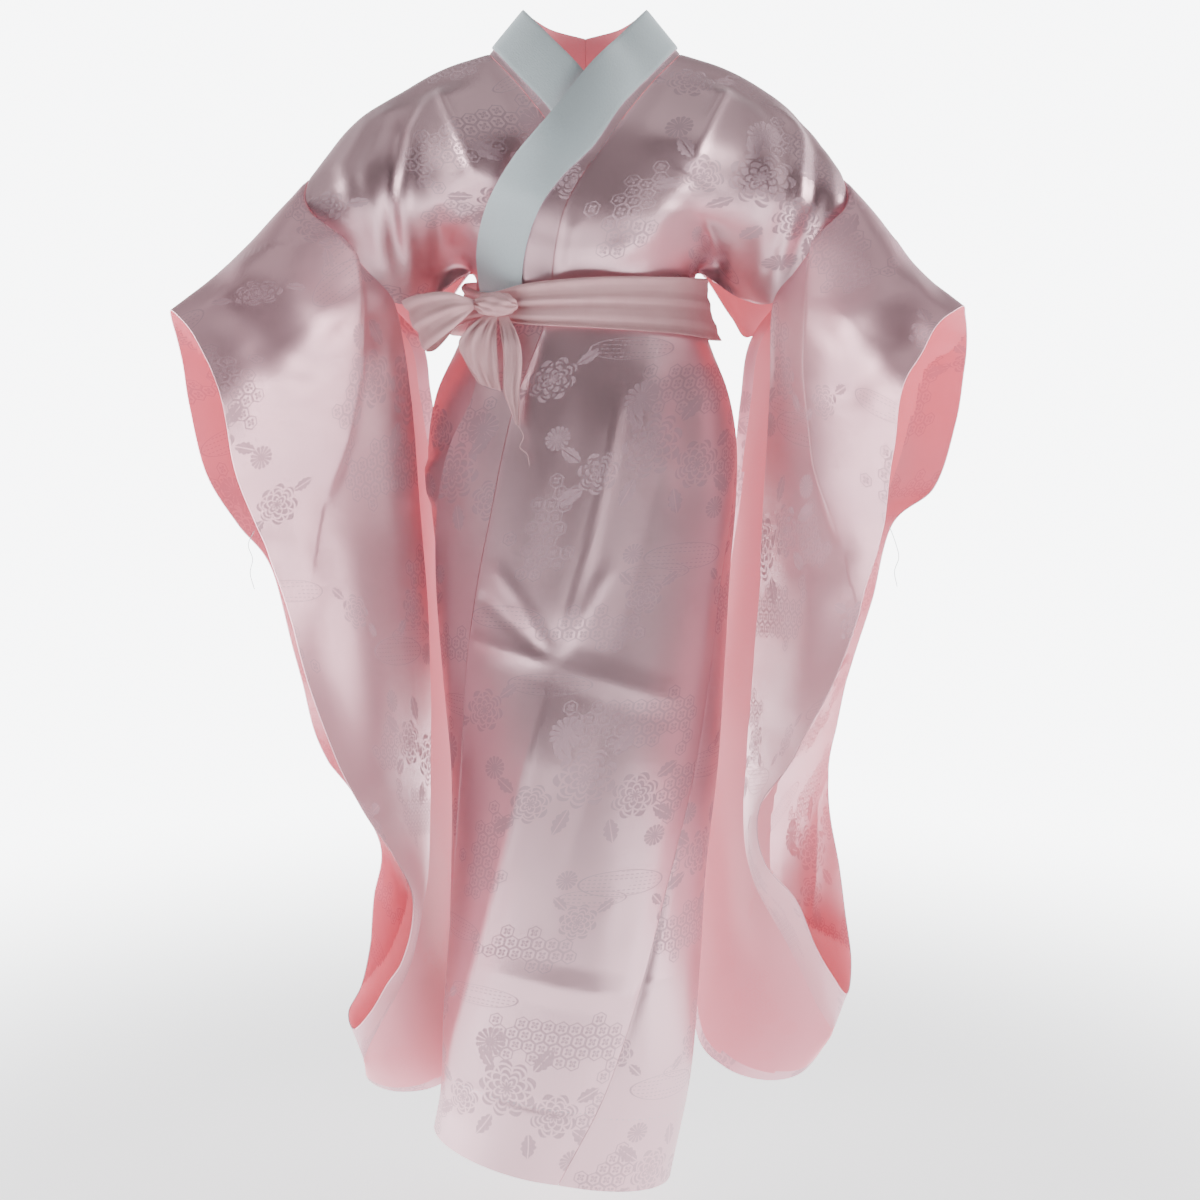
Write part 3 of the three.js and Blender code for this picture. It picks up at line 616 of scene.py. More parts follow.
def makeCloth(name, grid, materials, thickness, out, closed=False, shift=(0, 0), strips=()):
    # two faces of cloth with a rim; materials are outside and inside; out points outwards at each
    # point; strips are columns whose inside shows the outside's material
    normals = gridNormals(grid, closed)
    turned = (normals * out).sum() < 0
    stepsAcross = np.linalg.norm(np.diff(grid, axis=1), axis=2)
    u = np.concatenate([np.zeros((len(grid), 1)), np.cumsum(stepsAcross, axis=1)], axis=1)
    v = np.concatenate([[0], np.cumsum(np.linalg.norm(np.diff(grid, axis=0), axis=2).mean(axis=1))])
    if turned:
        normals = -normals
    rows, columns = grid.shape[:2]
    points = np.concatenate([grid + normals * thickness / 2, grid - normals * thickness / 2])
    points = points.reshape(-1, 3) / 1000
    spans = rows if closed else rows - 1
    r, k = np.meshgrid(np.arange(spans), np.arange(columns - 1), indexing="ij")
    nextRow = (r + 1) % rows
    lastV = v[-1] + np.linalg.norm(grid[0] - grid[-1], axis=1).mean()
    corners = [(r, k, r), (nextRow, k, r + 1), (nextRow, k + 1, r + 1), (r, k + 1, r)]
    index = np.stack([a * columns + b for a, b, _ in corners], axis=-1).reshape(-1, 4)
    vAll = np.append(v, lastV)
    uvQuad = np.stack([np.stack([u[a, b], vAll[c]], axis=-1) for a, b, c in corners], axis=-2)
    uvQuad = uvQuad.reshape(-1, 4, 2)
    size = rows * columns
    outer, inner = (index[:, ::-1], index + size) if turned else (index, index[:, ::-1] + size)
    uvOuter, uvInner = (uvQuad[:, ::-1], uvQuad) if turned else (uvQuad, uvQuad[:, ::-1])
    loops = []
    rim = np.arange(spans)
    for column in (0, columns - 1):
        a, b = rim * columns + column, ((rim + 1) % rows) * columns + column
        quad = np.stack([a, a + size, b + size, b], axis=-1)
        loops.append(quad if (column == 0) != turned else quad[:, ::-1])
    if not closed:
        for row in (0, rows - 1):
            a = row * columns + np.arange(columns - 1)
            quad = np.stack([a, a + 1, a + 1 + size, a + size], axis=-1)
            loops.append(quad if (row == 0) != turned else quad[:, ::-1])
    # both faces are split along the same diagonal, so that they never cross
    forward, backward = [0, 1, 2, 0, 2, 3], [0, 1, 3, 1, 2, 3]
    outerCuts, innerCuts = (backward, forward) if turned else (forward, backward)
    rims = np.concatenate(loops)
    faces = np.concatenate([outer[:, outerCuts], inner[:, innerCuts], rims[:, forward]]).reshape(-1, 3)
    uvs = np.concatenate([uvOuter[:, outerCuts], uvInner[:, innerCuts], np.zeros((len(rims), 6, 2))])
    mesh = bpy.data.meshes.new(name)
    mesh.vertices.add(len(points))
    mesh.vertices.foreach_set("co", points.ravel())
    mesh.loops.add(faces.size)
    mesh.loops.foreach_set("vertex_index", faces.ravel())
    mesh.polygons.add(len(faces))
    mesh.polygons.foreach_set("loop_start", np.arange(0, faces.size, 3))
    mesh.polygons.foreach_set("use_smooth", np.ones(len(faces), dtype=bool))
    slots = np.zeros(len(faces), dtype=int)
    inside = np.ones(len(inner), dtype=int)
    for low, high in strips:  # in mm from the first column
        middleU = uvInner[:, :, 0].mean(axis=1)
        inside[(middleU >= low) & (middleU <= high)] = 0
    slots[2 * len(outer):2 * len(outer) + 2 * len(inner)] = np.repeat(inside, 2)
    for material in materials:
        mesh.materials.append(material)
    mesh.polygons.foreach_set("material_index", slots)
    layer = mesh.uv_layers.new(name="cloth")
    layer.data.foreach_set("uv", ((uvs + shift) / 1000).ravel())
    mesh.update(calc_edges=True)
    boundary = np.zeros(size, dtype=bool).reshape(rows, columns)
    boundary[:, [0, -1]] = True
    if not closed:
        boundary[[0, -1], :] = True
    boundary = np.tile(boundary.ravel(), 2)
    edges = np.empty(len(mesh.edges) * 2, dtype=int)
    mesh.edges.foreach_get("vertices", edges)
    a, b = edges.reshape(-1, 2).T
    sharp = mesh.attributes.new("sharp_edge", "BOOLEAN", "EDGE")
    sharp.data.foreach_set("value", boundary[a] & boundary[b] & ((a < size) == (b < size)))
    mesh.validate()
    return placed(name, mesh)


# Materials

def put(tree, socket, value):
    if isinstance(value, bpy.types.NodeSocket):
        tree.links.new(value, socket)
    elif value is not None:
        socket.default_value = value


def nodeOf(tree, kind, *values, **settings):  # a node with its inputs set or linked in order
    node = tree.nodes.new(kind)
    for key, value in settings.items():
        setattr(node, key, value)
    for socket, value in zip(node.inputs, values):
        put(tree, socket, value)
    return node


def maths(tree, operation, *values):
    return nodeOf(tree, "ShaderNodeMath", *values, operation=operation).outputs[0]


def vectors(tree, operation, *values):
    node = nodeOf(tree, "ShaderNodeVectorMath", *values, operation=operation)
    return node.outputs["Value" if operation == "LENGTH" else "Vector"]


def parted(tree, vector):
    return nodeOf(tree, "ShaderNodeSeparateXYZ", vector).outputs


def mixed(tree, kind, sockets, values):
    node = nodeOf(tree, "ShaderNodeMix", data_type=kind)
    for key, value in zip(("Factor", *sockets), values):
        put(tree, node.inputs[key], value)
    return node


halfRootThree = 0.8660254
weaveChart = {  # lengths in metres
    "tile": (0.36, 0.38),  # one repeat of the woven pattern
    "hexagon": 0.0155,  # across
    "hexagonRing": (0.455, 0.042), "hexagonHeart": (0.09, 0.022), "hexagonPetals": (0.22, 0.10),
    "raggedEdge": (0.75, 0.55),
    "hexagonFields": [  # centre x, y and half sizes x, y
        (0.045, 0.118, 0.085, 0.030), (-0.100, -0.045, 0.034, 0.062),
        (0.125, 0.040, 0.030, 0.040), (-0.02, -0.155, 0.060, 0.020),
    ],
    "flowers": [  # centre x, y, radius, petals, turn
        (0.000, 0.052, 0.036, 9, 0.3), (0.060, 0.030, 0.028, 8, 1.1), (-0.056, 0.022, 0.024, 7, 0.6),
        (0.030, -0.120, 0.022, 8, 0.2), (-0.135, 0.125, 0.026, 8, 0.9), (0.145, -0.120, 0.020, 7, 0.5),
    ],
    "flowerEdge": (0.22, 0.78), "flowerCuts": (0.22, 0.42, 0.62, 0.80), "cutWave": 0.16,
    "cutBack": 0.10, "cutWidth": 0.042, "spoke": (0.24, 0.52),
    "daisies": [  # centre x, y, radius
        (-0.030, 0.105, 0.019), (0.095, -0.020, 0.013), (-0.110, 0.060, 0.014), (0.006, -0.070, 0.012),
    ],
    "daisyPetals": 7, "daisyEdge": (0.15, 0.85), "daisyGap": (0.35, 0.32),
    "leaves": [  # base x, y, turn in degrees, length, half width
        (-0.020, 0.072, 130, 0.034, 0.009), (0.028, 0.078, 60, 0.036, 0.010),
        (0.082, 0.050, 35, 0.030, 0.008), (0.084, 0.016, -30, 0.034, 0.009),
        (-0.078, 0.034, 150, 0.030, 0.008), (-0.070, 0.004, 215, 0.032, 0.009),
        (-0.012, 0.016, 250, 0.034, 0.009), (0.036, 0.004, 290, 0.032, 0.009),
        (0.048, -0.108, 40, 0.024, 0.006), (0.014, -0.106, 140, 0.024, 0.006),
        (-0.116, 0.142, 40, 0.026, 0.007), (-0.156, 0.112, 200, 0.026, 0.007),
        (0.128, -0.106, 140, 0.022, 0.006), (0.160, -0.134, -40, 0.022, 0.006),
    ],
    "leafTeeth": 14, "leafEdge": (0.3, 0.7), "leafRib": 0.0007,
    "mists": [  # centre x, y and half sizes x, y
        (0.070, -0.075, 0.052, 0.016), (0.040, -0.092, 0.040, 0.010),
        (-0.060, 0.160, 0.050, 0.013), (-0.125, -0.145, 0.046, 0.014),
    ],
    "mistLines": (0.0045, 0.5, 0.12), "mistDots": (0.006, -0.2), "mistRim": (0.96, 0.024),
    "mistFill": (0.6, 0.3),
}


def wovenPattern():
    tree = bpy.data.node_groups.new("wovenPattern", "ShaderNodeTree")
    tree.interface.new_socket("Place", in_out="INPUT", socket_type="NodeSocketVector")
    tree.interface.new_socket("Pattern", in_out="OUTPUT", socket_type="NodeSocketFloat")
    start, end = tree.nodes.new("NodeGroupInput"), tree.nodes.new("NodeGroupOutput")
    chart = weaveChart

    def calc(operation, *values):
        return maths(tree, operation, *values)

    def vector(operation, *values):
        return vectors(tree, operation, *values)

    def biggest(masks):
        total = masks[0]
        for mask in masks[1:]:
            total = calc("MAXIMUM", total, mask)
        return total

    def wave(function, turn, count):
        return calc("ABSOLUTE", calc(function, calc("MULTIPLY", turn, count)))

    def turnAndReach(x, y, radius):  # the angle round a centre, and the distance from it in radii
        offset = vector("SUBTRACT", place, (x, y, 0))
        across, up = parted(tree, offset)[:2]
        return calc("ARCTAN2", up, across), calc("DIVIDE", vector("LENGTH", offset), radius)

    def ovalReach(point, x, y, halfWide, halfHigh):
        offset = vector("SUBTRACT", point, (x, y, 0))
        return vector("LENGTH", vector("MULTIPLY", offset, (1 / halfWide, 1 / halfHigh, 0)))

    def without(mask, cut):
        return calc("MULTIPLY", mask, calc("SUBTRACT", 1, cut))

    wide, high = chart["tile"]
    place = vector("WRAP", start.outputs[0], (wide / 2, high / 2, 1), (-wide / 2, -high / 2, -1))
    parts = []

    # hexagons with a four-petalled flower in each
    size = chart["hexagon"]
    scaled = vector("MULTIPLY", place, (1 / size, 1 / size, 0))
    halves, minus = (0.5, halfRootThree, 1), (-0.5, -halfRootThree, -1)
    first = vector("WRAP", scaled, halves, minus)
    second = vector("WRAP", vector("SUBTRACT", scaled, (0.5, halfRootThree, 0)), halves, minus)
    nearer = calc("LESS_THAN", vector("LENGTH", first), vector("LENGTH", second))
    cell = mixed(tree, "VECTOR", (4, 5), (nearer, second, first)).outputs[1]
    centre = vector("SUBTRACT", scaled, cell)
    across, up = parted(tree, vector("ABSOLUTE", cell))[:2]
    slanted = calc("ADD", calc("MULTIPLY", across, 0.5), calc("MULTIPLY", up, halfRootThree))
    ring = calc("COMPARE", calc("MAXIMUM", slanted, across), *chart["hexagonRing"])
    across, up = parted(tree, cell)[:2]
    lobes = wave("SINE", calc("ARCTAN2", up, across), 2)
    away = vector("LENGTH", cell)
    petals = calc("LESS_THAN", away, calc("MULTIPLY_ADD", lobes, *chart["hexagonPetals"]))
    flower = calc("SUBTRACT", petals, calc("COMPARE", away, *chart["hexagonHeart"]))
    snapped = vector("ADD", vector("SNAP", centre, (0.25, 0.25, 1)), (0.1, 0.1, 0.1))
    chance = nodeOf(tree, "ShaderNodeTexWhiteNoise", snapped, noise_dimensions="3D").outputs["Value"]
    limit = calc("MULTIPLY_ADD", chance, *chart["raggedEdge"])
    reaches = [ovalReach(centre, *np.divide(field, size)) for field in chart["hexagonFields"]]
    wanted = [calc("LESS_THAN", reach, limit) for reach in reaches]
    parts.append(calc("MULTIPLY", calc("MAXIMUM", ring, flower), biggest(wanted)))

    for x, y, radius, count, turnBy in chart["flowers"]:
        turn, away = turnAndReach(x, y, radius)
        turn = calc("ADD", turn, turnBy)
        scallop, other = wave("COSINE", turn, count / 2), wave("SINE", turn, (count - 2) / 2)
        body = calc("LESS_THAN", away, calc("MULTIPLY_ADD", scallop, *chart["flowerEdge"]))
        cuts = []
        for number, level in enumerate(chart["flowerCuts"]):
            wavy = other if number % 2 else scallop
            edge = calc("MULTIPLY_ADD", wavy, chart["cutWave"], level - chart["cutBack"])
            cuts.append(calc("COMPARE", away, edge, chart["cutWidth"]))
        thin, inner = chart["spoke"]
        cuts.append(calc("MULTIPLY", calc("LESS_THAN", scallop, thin), calc("GREATER_THAN", away, inner)))
        parts.append(without(body, biggest(cuts)))

    for daisy in chart["daisies"]:
        turn, away = turnAndReach(*daisy)
        scallop = wave("COSINE", turn, chart["daisyPetals"])
        body = calc("LESS_THAN", away, calc("MULTIPLY_ADD", scallop, *chart["daisyEdge"]))
        thin, inner = chart["daisyGap"]
        gaps = calc("MULTIPLY", calc("LESS_THAN", scallop, thin), calc("GREATER_THAN", away, inner))
        parts.append(without(body, gaps))

    for x, y, turn, length, half in chart["leaves"]:
        base = (x, y, 0)
        rotated = nodeOf(tree, "ShaderNodeVectorRotate", place, base, (0, 0, 1), np.radians(-turn),
                         rotation_type="AXIS_ANGLE").outputs[0]
        along, across = parted(tree, vector("SUBTRACT", rotated, base))[:2]
        t, across = calc("DIVIDE", along, length), calc("ABSOLUTE", across)
        bow = calc("MULTIPLY", calc("MULTIPLY", t, calc("SUBTRACT", 1, t)), 4 * half)
        teeth = calc("MULTIPLY_ADD", wave("SINE", t, chart["leafTeeth"]), *chart["leafEdge"])
        leaf = calc("LESS_THAN", across, calc("MULTIPLY", bow, teeth))
        parts.append(calc("MULTIPLY", leaf, calc("GREATER_THAN", across, chart["leafRib"])))

    across, up = parted(tree, place)[:2]
    apart, middle, width = chart["mistLines"]
    lines = calc("COMPARE", calc("FRACT", calc("MULTIPLY", up, 1 / apart)), middle, width)
    apart, low = chart["mistDots"]
    dots = calc("GREATER_THAN", calc("SINE", calc("MULTIPLY", across, 6.28 / apart)), low)
    for mist in chart["mists"]:
        away = ovalReach(place, *mist)
        filled = calc("MULTIPLY", calc("COMPARE", away, *chart["mistFill"]), calc("MULTIPLY", lines, dots))
        parts.append(calc("MAXIMUM", calc("COMPARE", away, *chart["mistRim"]), filled))

    tree.links.new(biggest(parts), end.inputs[0])
    return tree


def newMaterial(name):
    material = bpy.data.materials.new(name)
    material.use_nodes = True
    tree = material.node_tree
    return material, tree, tree.nodes["Principled BSDF"]


def clothMaterial(name):  # also the place on the cloth, in metres
    material, tree, shader = newMaterial(name)
    return material, tree, shader, nodeOf(tree, "ShaderNodeUVMap", uv_map="cloth").outputs[0]


def patternAt(tree, pattern, place):
    group = tree.nodes.new("ShaderNodeGroup")
    group.node_tree = pattern
    tree.links.new(place, group.inputs[0])
    return group.outputs[0]


def noiseAt(tree, place, scale, detail):
    return nodeOf(tree, "ShaderNodeTexNoise", place, None, scale, detail).outputs[0]


def tinted(tree, amount, first, second):
    return mixed(tree, "RGBA", (6, 7), (amount, first, second)).outputs[2]


def setShader(tree, shader, height, relief, settings):  # relief is the bump's strength and distance
    for key, value in settings.items():
        put(tree, shader.inputs[key], value)
    bump = nodeOf(tree, "ShaderNodeBump", *relief)
    tree.links.new(height, bump.inputs["Height"])
    tree.links.new(bump.outputs[0], shader.inputs["Normal"])


satin = {
    "body": {
        "ground": (0.82, 0.53, 0.59, 1), "warm": (0.84, 0.53, 0.58, 1), "motif": (0.66, 0.43, 0.49, 1),
        "metallic": 0.72,
    },
    # the sleeves' copy of the same satin: brighter, pinker and less metallic, as painted light on the sleeves
    "sleeve": {
        "ground": (0.90, 0.52, 0.60, 1), "warm": (0.92, 0.52, 0.58, 1), "motif": (0.76, 0.44, 0.51, 1),
        "metallic": 0.58,
    },
    "motifMetallic": 0.28, "roughness": 0.33, "motifRoughness": 0.6, "drift": (5.0, 3.0),
    "threads": (900.0, 2.0, 2.0, 1.5), "slub": (900, 60, 1), "relief": (0.25, 0.0003),
    "sheen": 0.15, "sheenRoughness": 0.4,
}


def satinMaterial(name, pattern, tones):
    material, tree, shader, place = clothMaterial(name)
    mask = patternAt(tree, pattern, place)
    ground = tinted(tree, noiseAt(tree, place, *satin["drift"]), tones["ground"], tones["warm"])
    warp = nodeOf(tree, "ShaderNodeTexWave", place, *satin["threads"], bands_direction="X").outputs[1]
    slub = noiseAt(tree, vectors(tree, "MULTIPLY", place, satin["slub"]), 1.0, 2.0)
    rougher = satin["motifRoughness"] - satin["roughness"]
    duller = satin["motifMetallic"] - tones["metallic"]
    setShader(tree, shader, maths(tree, "MULTIPLY_ADD", warp, 0.3, slub), satin["relief"], {
        "Base Color": tinted(tree, mask, ground, tones["motif"]),
        "Metallic": maths(tree, "MULTIPLY_ADD", mask, duller, tones["metallic"]),
        "Roughness": maths(tree, "MULTIPLY_ADD", mask, rougher, satin["roughness"]),
        "Sheen Weight": satin["sheen"], "Sheen Roughness": satin["sheenRoughness"],
    })
    return material


# Inside face of the satin: the silk's own pink, made deep salmon by painted light through the cloth and painted
# shade; its glow is painted light, not a lamp
insideSatinLookAndPaintedLight = {
    "pale": (0.98, 0.46, 0.53, 1), "deep": (0.96, 0.30, 0.37, 1), "glow": 0.17, "roughness": 0.62,
    "fade": (0.10, 0.26, 0.75),  # metres from the sleeve's seam over which the painted shade pales toward the cuff, and by how much
    "drift": (4.0, 3.0), "weave": (700, 700, 1), "relief": (0.2, 0.0003), "sheen": 0.3,
}


def insideSatinWithPaintedLight(pattern):
    material, tree, shader, place = clothMaterial("satinInsidePaintedGlow")
    drift = maths(tree, "MULTIPLY", noiseAt(tree, place, *insideSatinLookAndPaintedLight["drift"]), 0.3)
    woven = maths(tree, "MULTIPLY_ADD", patternAt(tree, pattern, place), 0.2, drift)
    # painted shade: deeper near the sleeve's seam, paler toward the cuff
    near = nodeOf(tree, "ShaderNodeMapRange", parted(tree, place)[0], *insideSatinLookAndPaintedLight["fade"], 0).outputs[0]
    weave = noiseAt(tree, vectors(tree, "MULTIPLY", place, insideSatinLookAndPaintedLight["weave"]), 1.0, 2.0)
    setShader(tree, shader, weave, insideSatinLookAndPaintedLight["relief"], {
        "Base Color": tinted(tree, maths(tree, "ADD", near, woven), insideSatinLookAndPaintedLight["pale"], insideSatinLookAndPaintedLight["deep"]),
        "Roughness": insideSatinLookAndPaintedLight["roughness"], "Sheen Weight": insideSatinLookAndPaintedLight["sheen"],
        # painted glow: the emission stands for light shining through the silk
        "Emission Color": insideSatinLookAndPaintedLight["pale"], "Emission Strength": insideSatinLookAndPaintedLight["glow"],
    })
    return material


crepe = {
    "pale": (0.64, 0.73, 0.76, 1), "shade": (0.56, 0.66, 0.70, 1), "grain": (620.0, 248.0, 1),
    "relief": (0.5, 0.0006), "roughness": 0.85, "sheen": 0.25,
}


def crepeMaterial():
    material, tree, shader, place = clothMaterial("whiteCrepe")
    grain = noiseAt(tree, vectors(tree, "MULTIPLY", place, crepe["grain"]), 1.0, 4.0)
    setShader(tree, shader, grain, crepe["relief"], {
        "Base Color": tinted(tree, grain, crepe["shade"], crepe["pale"]),
        "Roughness": crepe["roughness"], "Sheen Weight": crepe["sheen"],
    })
    return material


gauze = {
    "thread": (0.94, 0.57, 0.59, 1), "gap": (0.80, 0.40, 0.43, 1), "net": (1500.0 / 6.28, 1.5, 2.0, 3.0),
    "patches": (40.0, 3.0), "relief": (0.35, 0.0005), "roughness": 0.8, "sheen": 0.3,
}


def gauzeMaterial():
    material, tree, shader, place = clothMaterial("softGauze")
    warp, weft = (
        nodeOf(tree, "ShaderNodeTexWave", place, *gauze["net"], bands_direction=way).outputs[1] for way in "XY"
    )
    net = maths(tree, "MAXIMUM", warp, weft)
    patches = maths(tree, "MULTIPLY_ADD", noiseAt(tree, place, *gauze["patches"]), 0.8, -0.2)
    amount = maths(tree, "MULTIPLY_ADD", net, 0.6, patches)
    setShader(tree, shader, net, gauze["relief"], {
        "Base Color": tinted(tree, amount, gauze["gap"], gauze["thread"]),
        "Roughness": gauze["roughness"], "Sheen Weight": gauze["sheen"],
    })
    return material


pattern = wovenPattern()
outside = satinMaterial("patternedSatin", pattern, satin["body"])
# a second copy of the satin for the sleeves, made brighter as painted light
sleeveSatinPaintedBrighter = satinMaterial("patternedSatinSleevePaintedBrighter", pattern, satin["sleeve"])
insideSatinPaintedGlow = insideSatinWithPaintedLight(pattern)
white, soft = crepeMaterial(), gauzeMaterial()
print("materials made")

# Coarse grids, layered as they are worn

coarse = {}
for side in ("left", "right"):
    coarse["body_" + side] = gridFrom(bodyRows(side), 10, cloth["seamInset"], cloth["seamInset"])
    coarse["collar_" + side] = gridFrom(collarRows(side), 4, cloth["seamInset"])
    coarse["sleeve_" + side] = gridFrom(sleeveRows(side), 8, cloth["sleeveInset"])
chestRows = slice(skirtCount - 1, skirtCount + frontCount - 1)
upperCloth = [coarse["body_left"][chestRows], coarse["collar_left"][chestRows]]
press(coarse["body_right"][chestRows], upperCloth, cloth["under"], 1)
press(coarse["collar_right"][chestRows], upperCloth, cloth["under"], 1)
strip = gridFrom(halfCollarStrip(), 3)
band = curveAt(strip, np.linspace(0, 1, 2 * len(strip) - 1))
bandNormals = gridNormals(band, False)
if bandNormals[:6, :, 1].sum() > 0:  # its first rows lie on the chest
    bandNormals = -bandNormals
band = band + bandNormals * halfCollar["lift"]
collarLength = frontCount * 2 - 2
press(band[1 - collarLength + cloth["underStart"]:], upperCloth, cloth["under"] / 2, 1)
press(band[:collarLength], [coarse["collar_left"][chestRows]], halfCollar["lift"], -1)

# Stitches

stitch = {"spacing": 7.0, "length": 2.2, "radius": 0.28, "sides": 6, "fromHem": 88}


def stitchTree():
    tree = bpy.data.node_groups.new("stitches", "GeometryNodeTree")
    face = tree.interface
    face.new_socket("Geometry", in_out="INPUT", socket_type="NodeSocketGeometry")
    for label in ("Spacing", "Stitch Length", "Radius"):
        face.new_socket(label, in_out="INPUT", socket_type="NodeSocketFloat")
    face.new_socket("Thread", in_out="INPUT", socket_type="NodeSocketMaterial")
    face.new_socket("Geometry", in_out="OUTPUT", socket_type="NodeSocketGeometry")
    start, end = tree.nodes.new("NodeGroupInput"), tree.nodes.new("NodeGroupOutput")
    points = tree.nodes.new("GeometryNodeCurveToPoints")
    points.mode = "LENGTH"
    bead = tree.nodes.new("GeometryNodeMeshCylinder")
    bead.inputs["Vertices"].default_value = stitch["sides"]
    turn = tree.nodes.new("FunctionNodeAlignRotationToVector")
    turn.axis = "Z"
    place = tree.nodes.new("GeometryNodeInstanceOnPoints")
    real = tree.nodes.new("GeometryNodeRealizeInstances")
    dress = tree.nodes.new("GeometryNodeSetMaterial")
    for source, output, target, socket in (
        (start, "Geometry", points, "Curve"), (start, "Spacing", points, "Length"),
        (start, "Radius", bead, "Radius"), (start, "Stitch Length", bead, "Depth"),
        (points, "Points", place, "Points"), (points, "Tangent", turn, "Vector"),
        (bead, "Mesh", place, "Instance"), (turn, "Rotation", place, "Rotation"),
        (place, "Instances", real, "Geometry"), (real, "Geometry", dress, "Geometry"),
        (start, "Thread", dress, "Material"), (dress, "Geometry", end, "Geometry"),
    ):
        tree.links.new(source.outputs[output], target.inputs[socket])
    return tree


stitches = stitchTree()


def sewn(name, lines, material):  # stitches along each line of points in mm, as one plain mesh
    curve = bpy.data.curves.new(name, "CURVE")
    curve.dimensions = "3D"
    for line in lines:
        spline = curve.splines.new("POLY")
        spline.points.add(len(line) - 1)
        spline.points.foreach_set("co", np.column_stack([line / 1000, np.ones(len(line))]).ravel())
    guide = placed(name, curve)
    modifier = guide.modifiers.new("stitches", "NODES")
    modifier.node_group = stitches
    wanted = {"Spacing": stitch["spacing"] / 1000, "Stitch Length": stitch["length"] / 1000,
              "Radius": stitch["radius"] / 1000, "Thread": material}
    for item in stitches.interface.items_tree:
        if item.in_out == "INPUT" and item.name in wanted:
            modifier[item.identifier] = wanted[item.name]
    evaluated = guide.evaluated_get(bpy.context.evaluated_depsgraph_get())
    mesh = bpy.data.meshes.new_from_object(evaluated)
    guide.modifiers.remove(modifier)
    bpy.data.objects.remove(guide)
    if not mesh.uv_layers:
        mesh.uv_layers.new(name="cloth")
    return placed(name, mesh)


def hemLines(grid, normals):  # lines across the cloth on its outer face, above the front and back hems
    run = np.linalg.norm(np.diff(grid, axis=0), axis=2).mean(axis=1).cumsum()
    front = int(np.searchsorted(run, stitch["fromHem"]))
    back = int(np.searchsorted(run, run[-1] - stitch["fromHem"]))
    lifted = grid + normals * (cloth["thickness"] / 2)
    return [lifted[row, 3:-3] for row in (front, back)]


# Body halves, sleeves and collars

pieces, sewing = {}, {}
bodyCloth = {
    "width": 300, "seamEase": 10, "seamDip": 0.5, "dipWidth": 2.2,
    "ripples": ((46, 0.35, 11), (130, 1.6, 21)),  # size, height, seed
    "hidden": (-3, 5), "hiddenFrom": -60, "hiddenEase": 40,  # the right half under the left front is flat
    "shift": (-168, -50), "shiftStep": (130, 60),  # where the woven pattern starts, left and then right
}
sleeveCloth = {
    "width": 300, "seamEase": 12, "topRows": 5, "topEase": 2,
    "ripples": ((50, 0.5, 31), (140, 2.4, 41)),
    # columns whose inside shows the outside satin: a narrow turned-in allowance at the seam, and a wide band
    # toward the outer edge that is painted light where the inside face is lit
    "frontRows": (-2, 14.5), "backRows": (16.5, 34), "allowanceAndPaintedLight": ((0, 16), (260, 600)),
    "shift": (0, 40), "shiftStep": (0, 150),
}
collarCloth = {"width": 60, "seamEase": 10, "shift": (-60, 0), "shiftStep": (0, 180)}
collarFolds = {"left": folds["bodyLeftFront"][:7], "right": folds["bodyRightFront"][-3:]}


def partMask(places, start, end):  # 1 between two coarse rows, easing at both ends
    return smooth((places - start) / 1.2 + 0.5) * smooth((end - places) / 1.2 + 0.5)


def foldsBetween(grid, places, table, start, end):
    return foldHeight(grid, table) * partMask(places, start, end)[:, None]


def ripples(grid, kind, number):
    return sum(ripple(grid, size, height, seed + number) for size, height, seed in kind["ripples"])


def outwardNormals(grid, closed, middle):
    normals = gridNormals(grid, closed)
    return normals if (normals * (grid - middle)).sum() > 0 else -normals


def raised(grid, normals, height):
    return grid + normals * height[:, :, None]


def axisBy(grid, depth=0):  # the point inside the figure that is level with each point of the grid
    return np.stack([np.zeros(grid.shape[:2]), np.full(grid.shape[:2], float(depth)), grid[:, :, 2]], axis=-1)


def patternShift(kind, number):
    return np.array(kind["shift"]) + number * np.array(kind["shiftStep"])


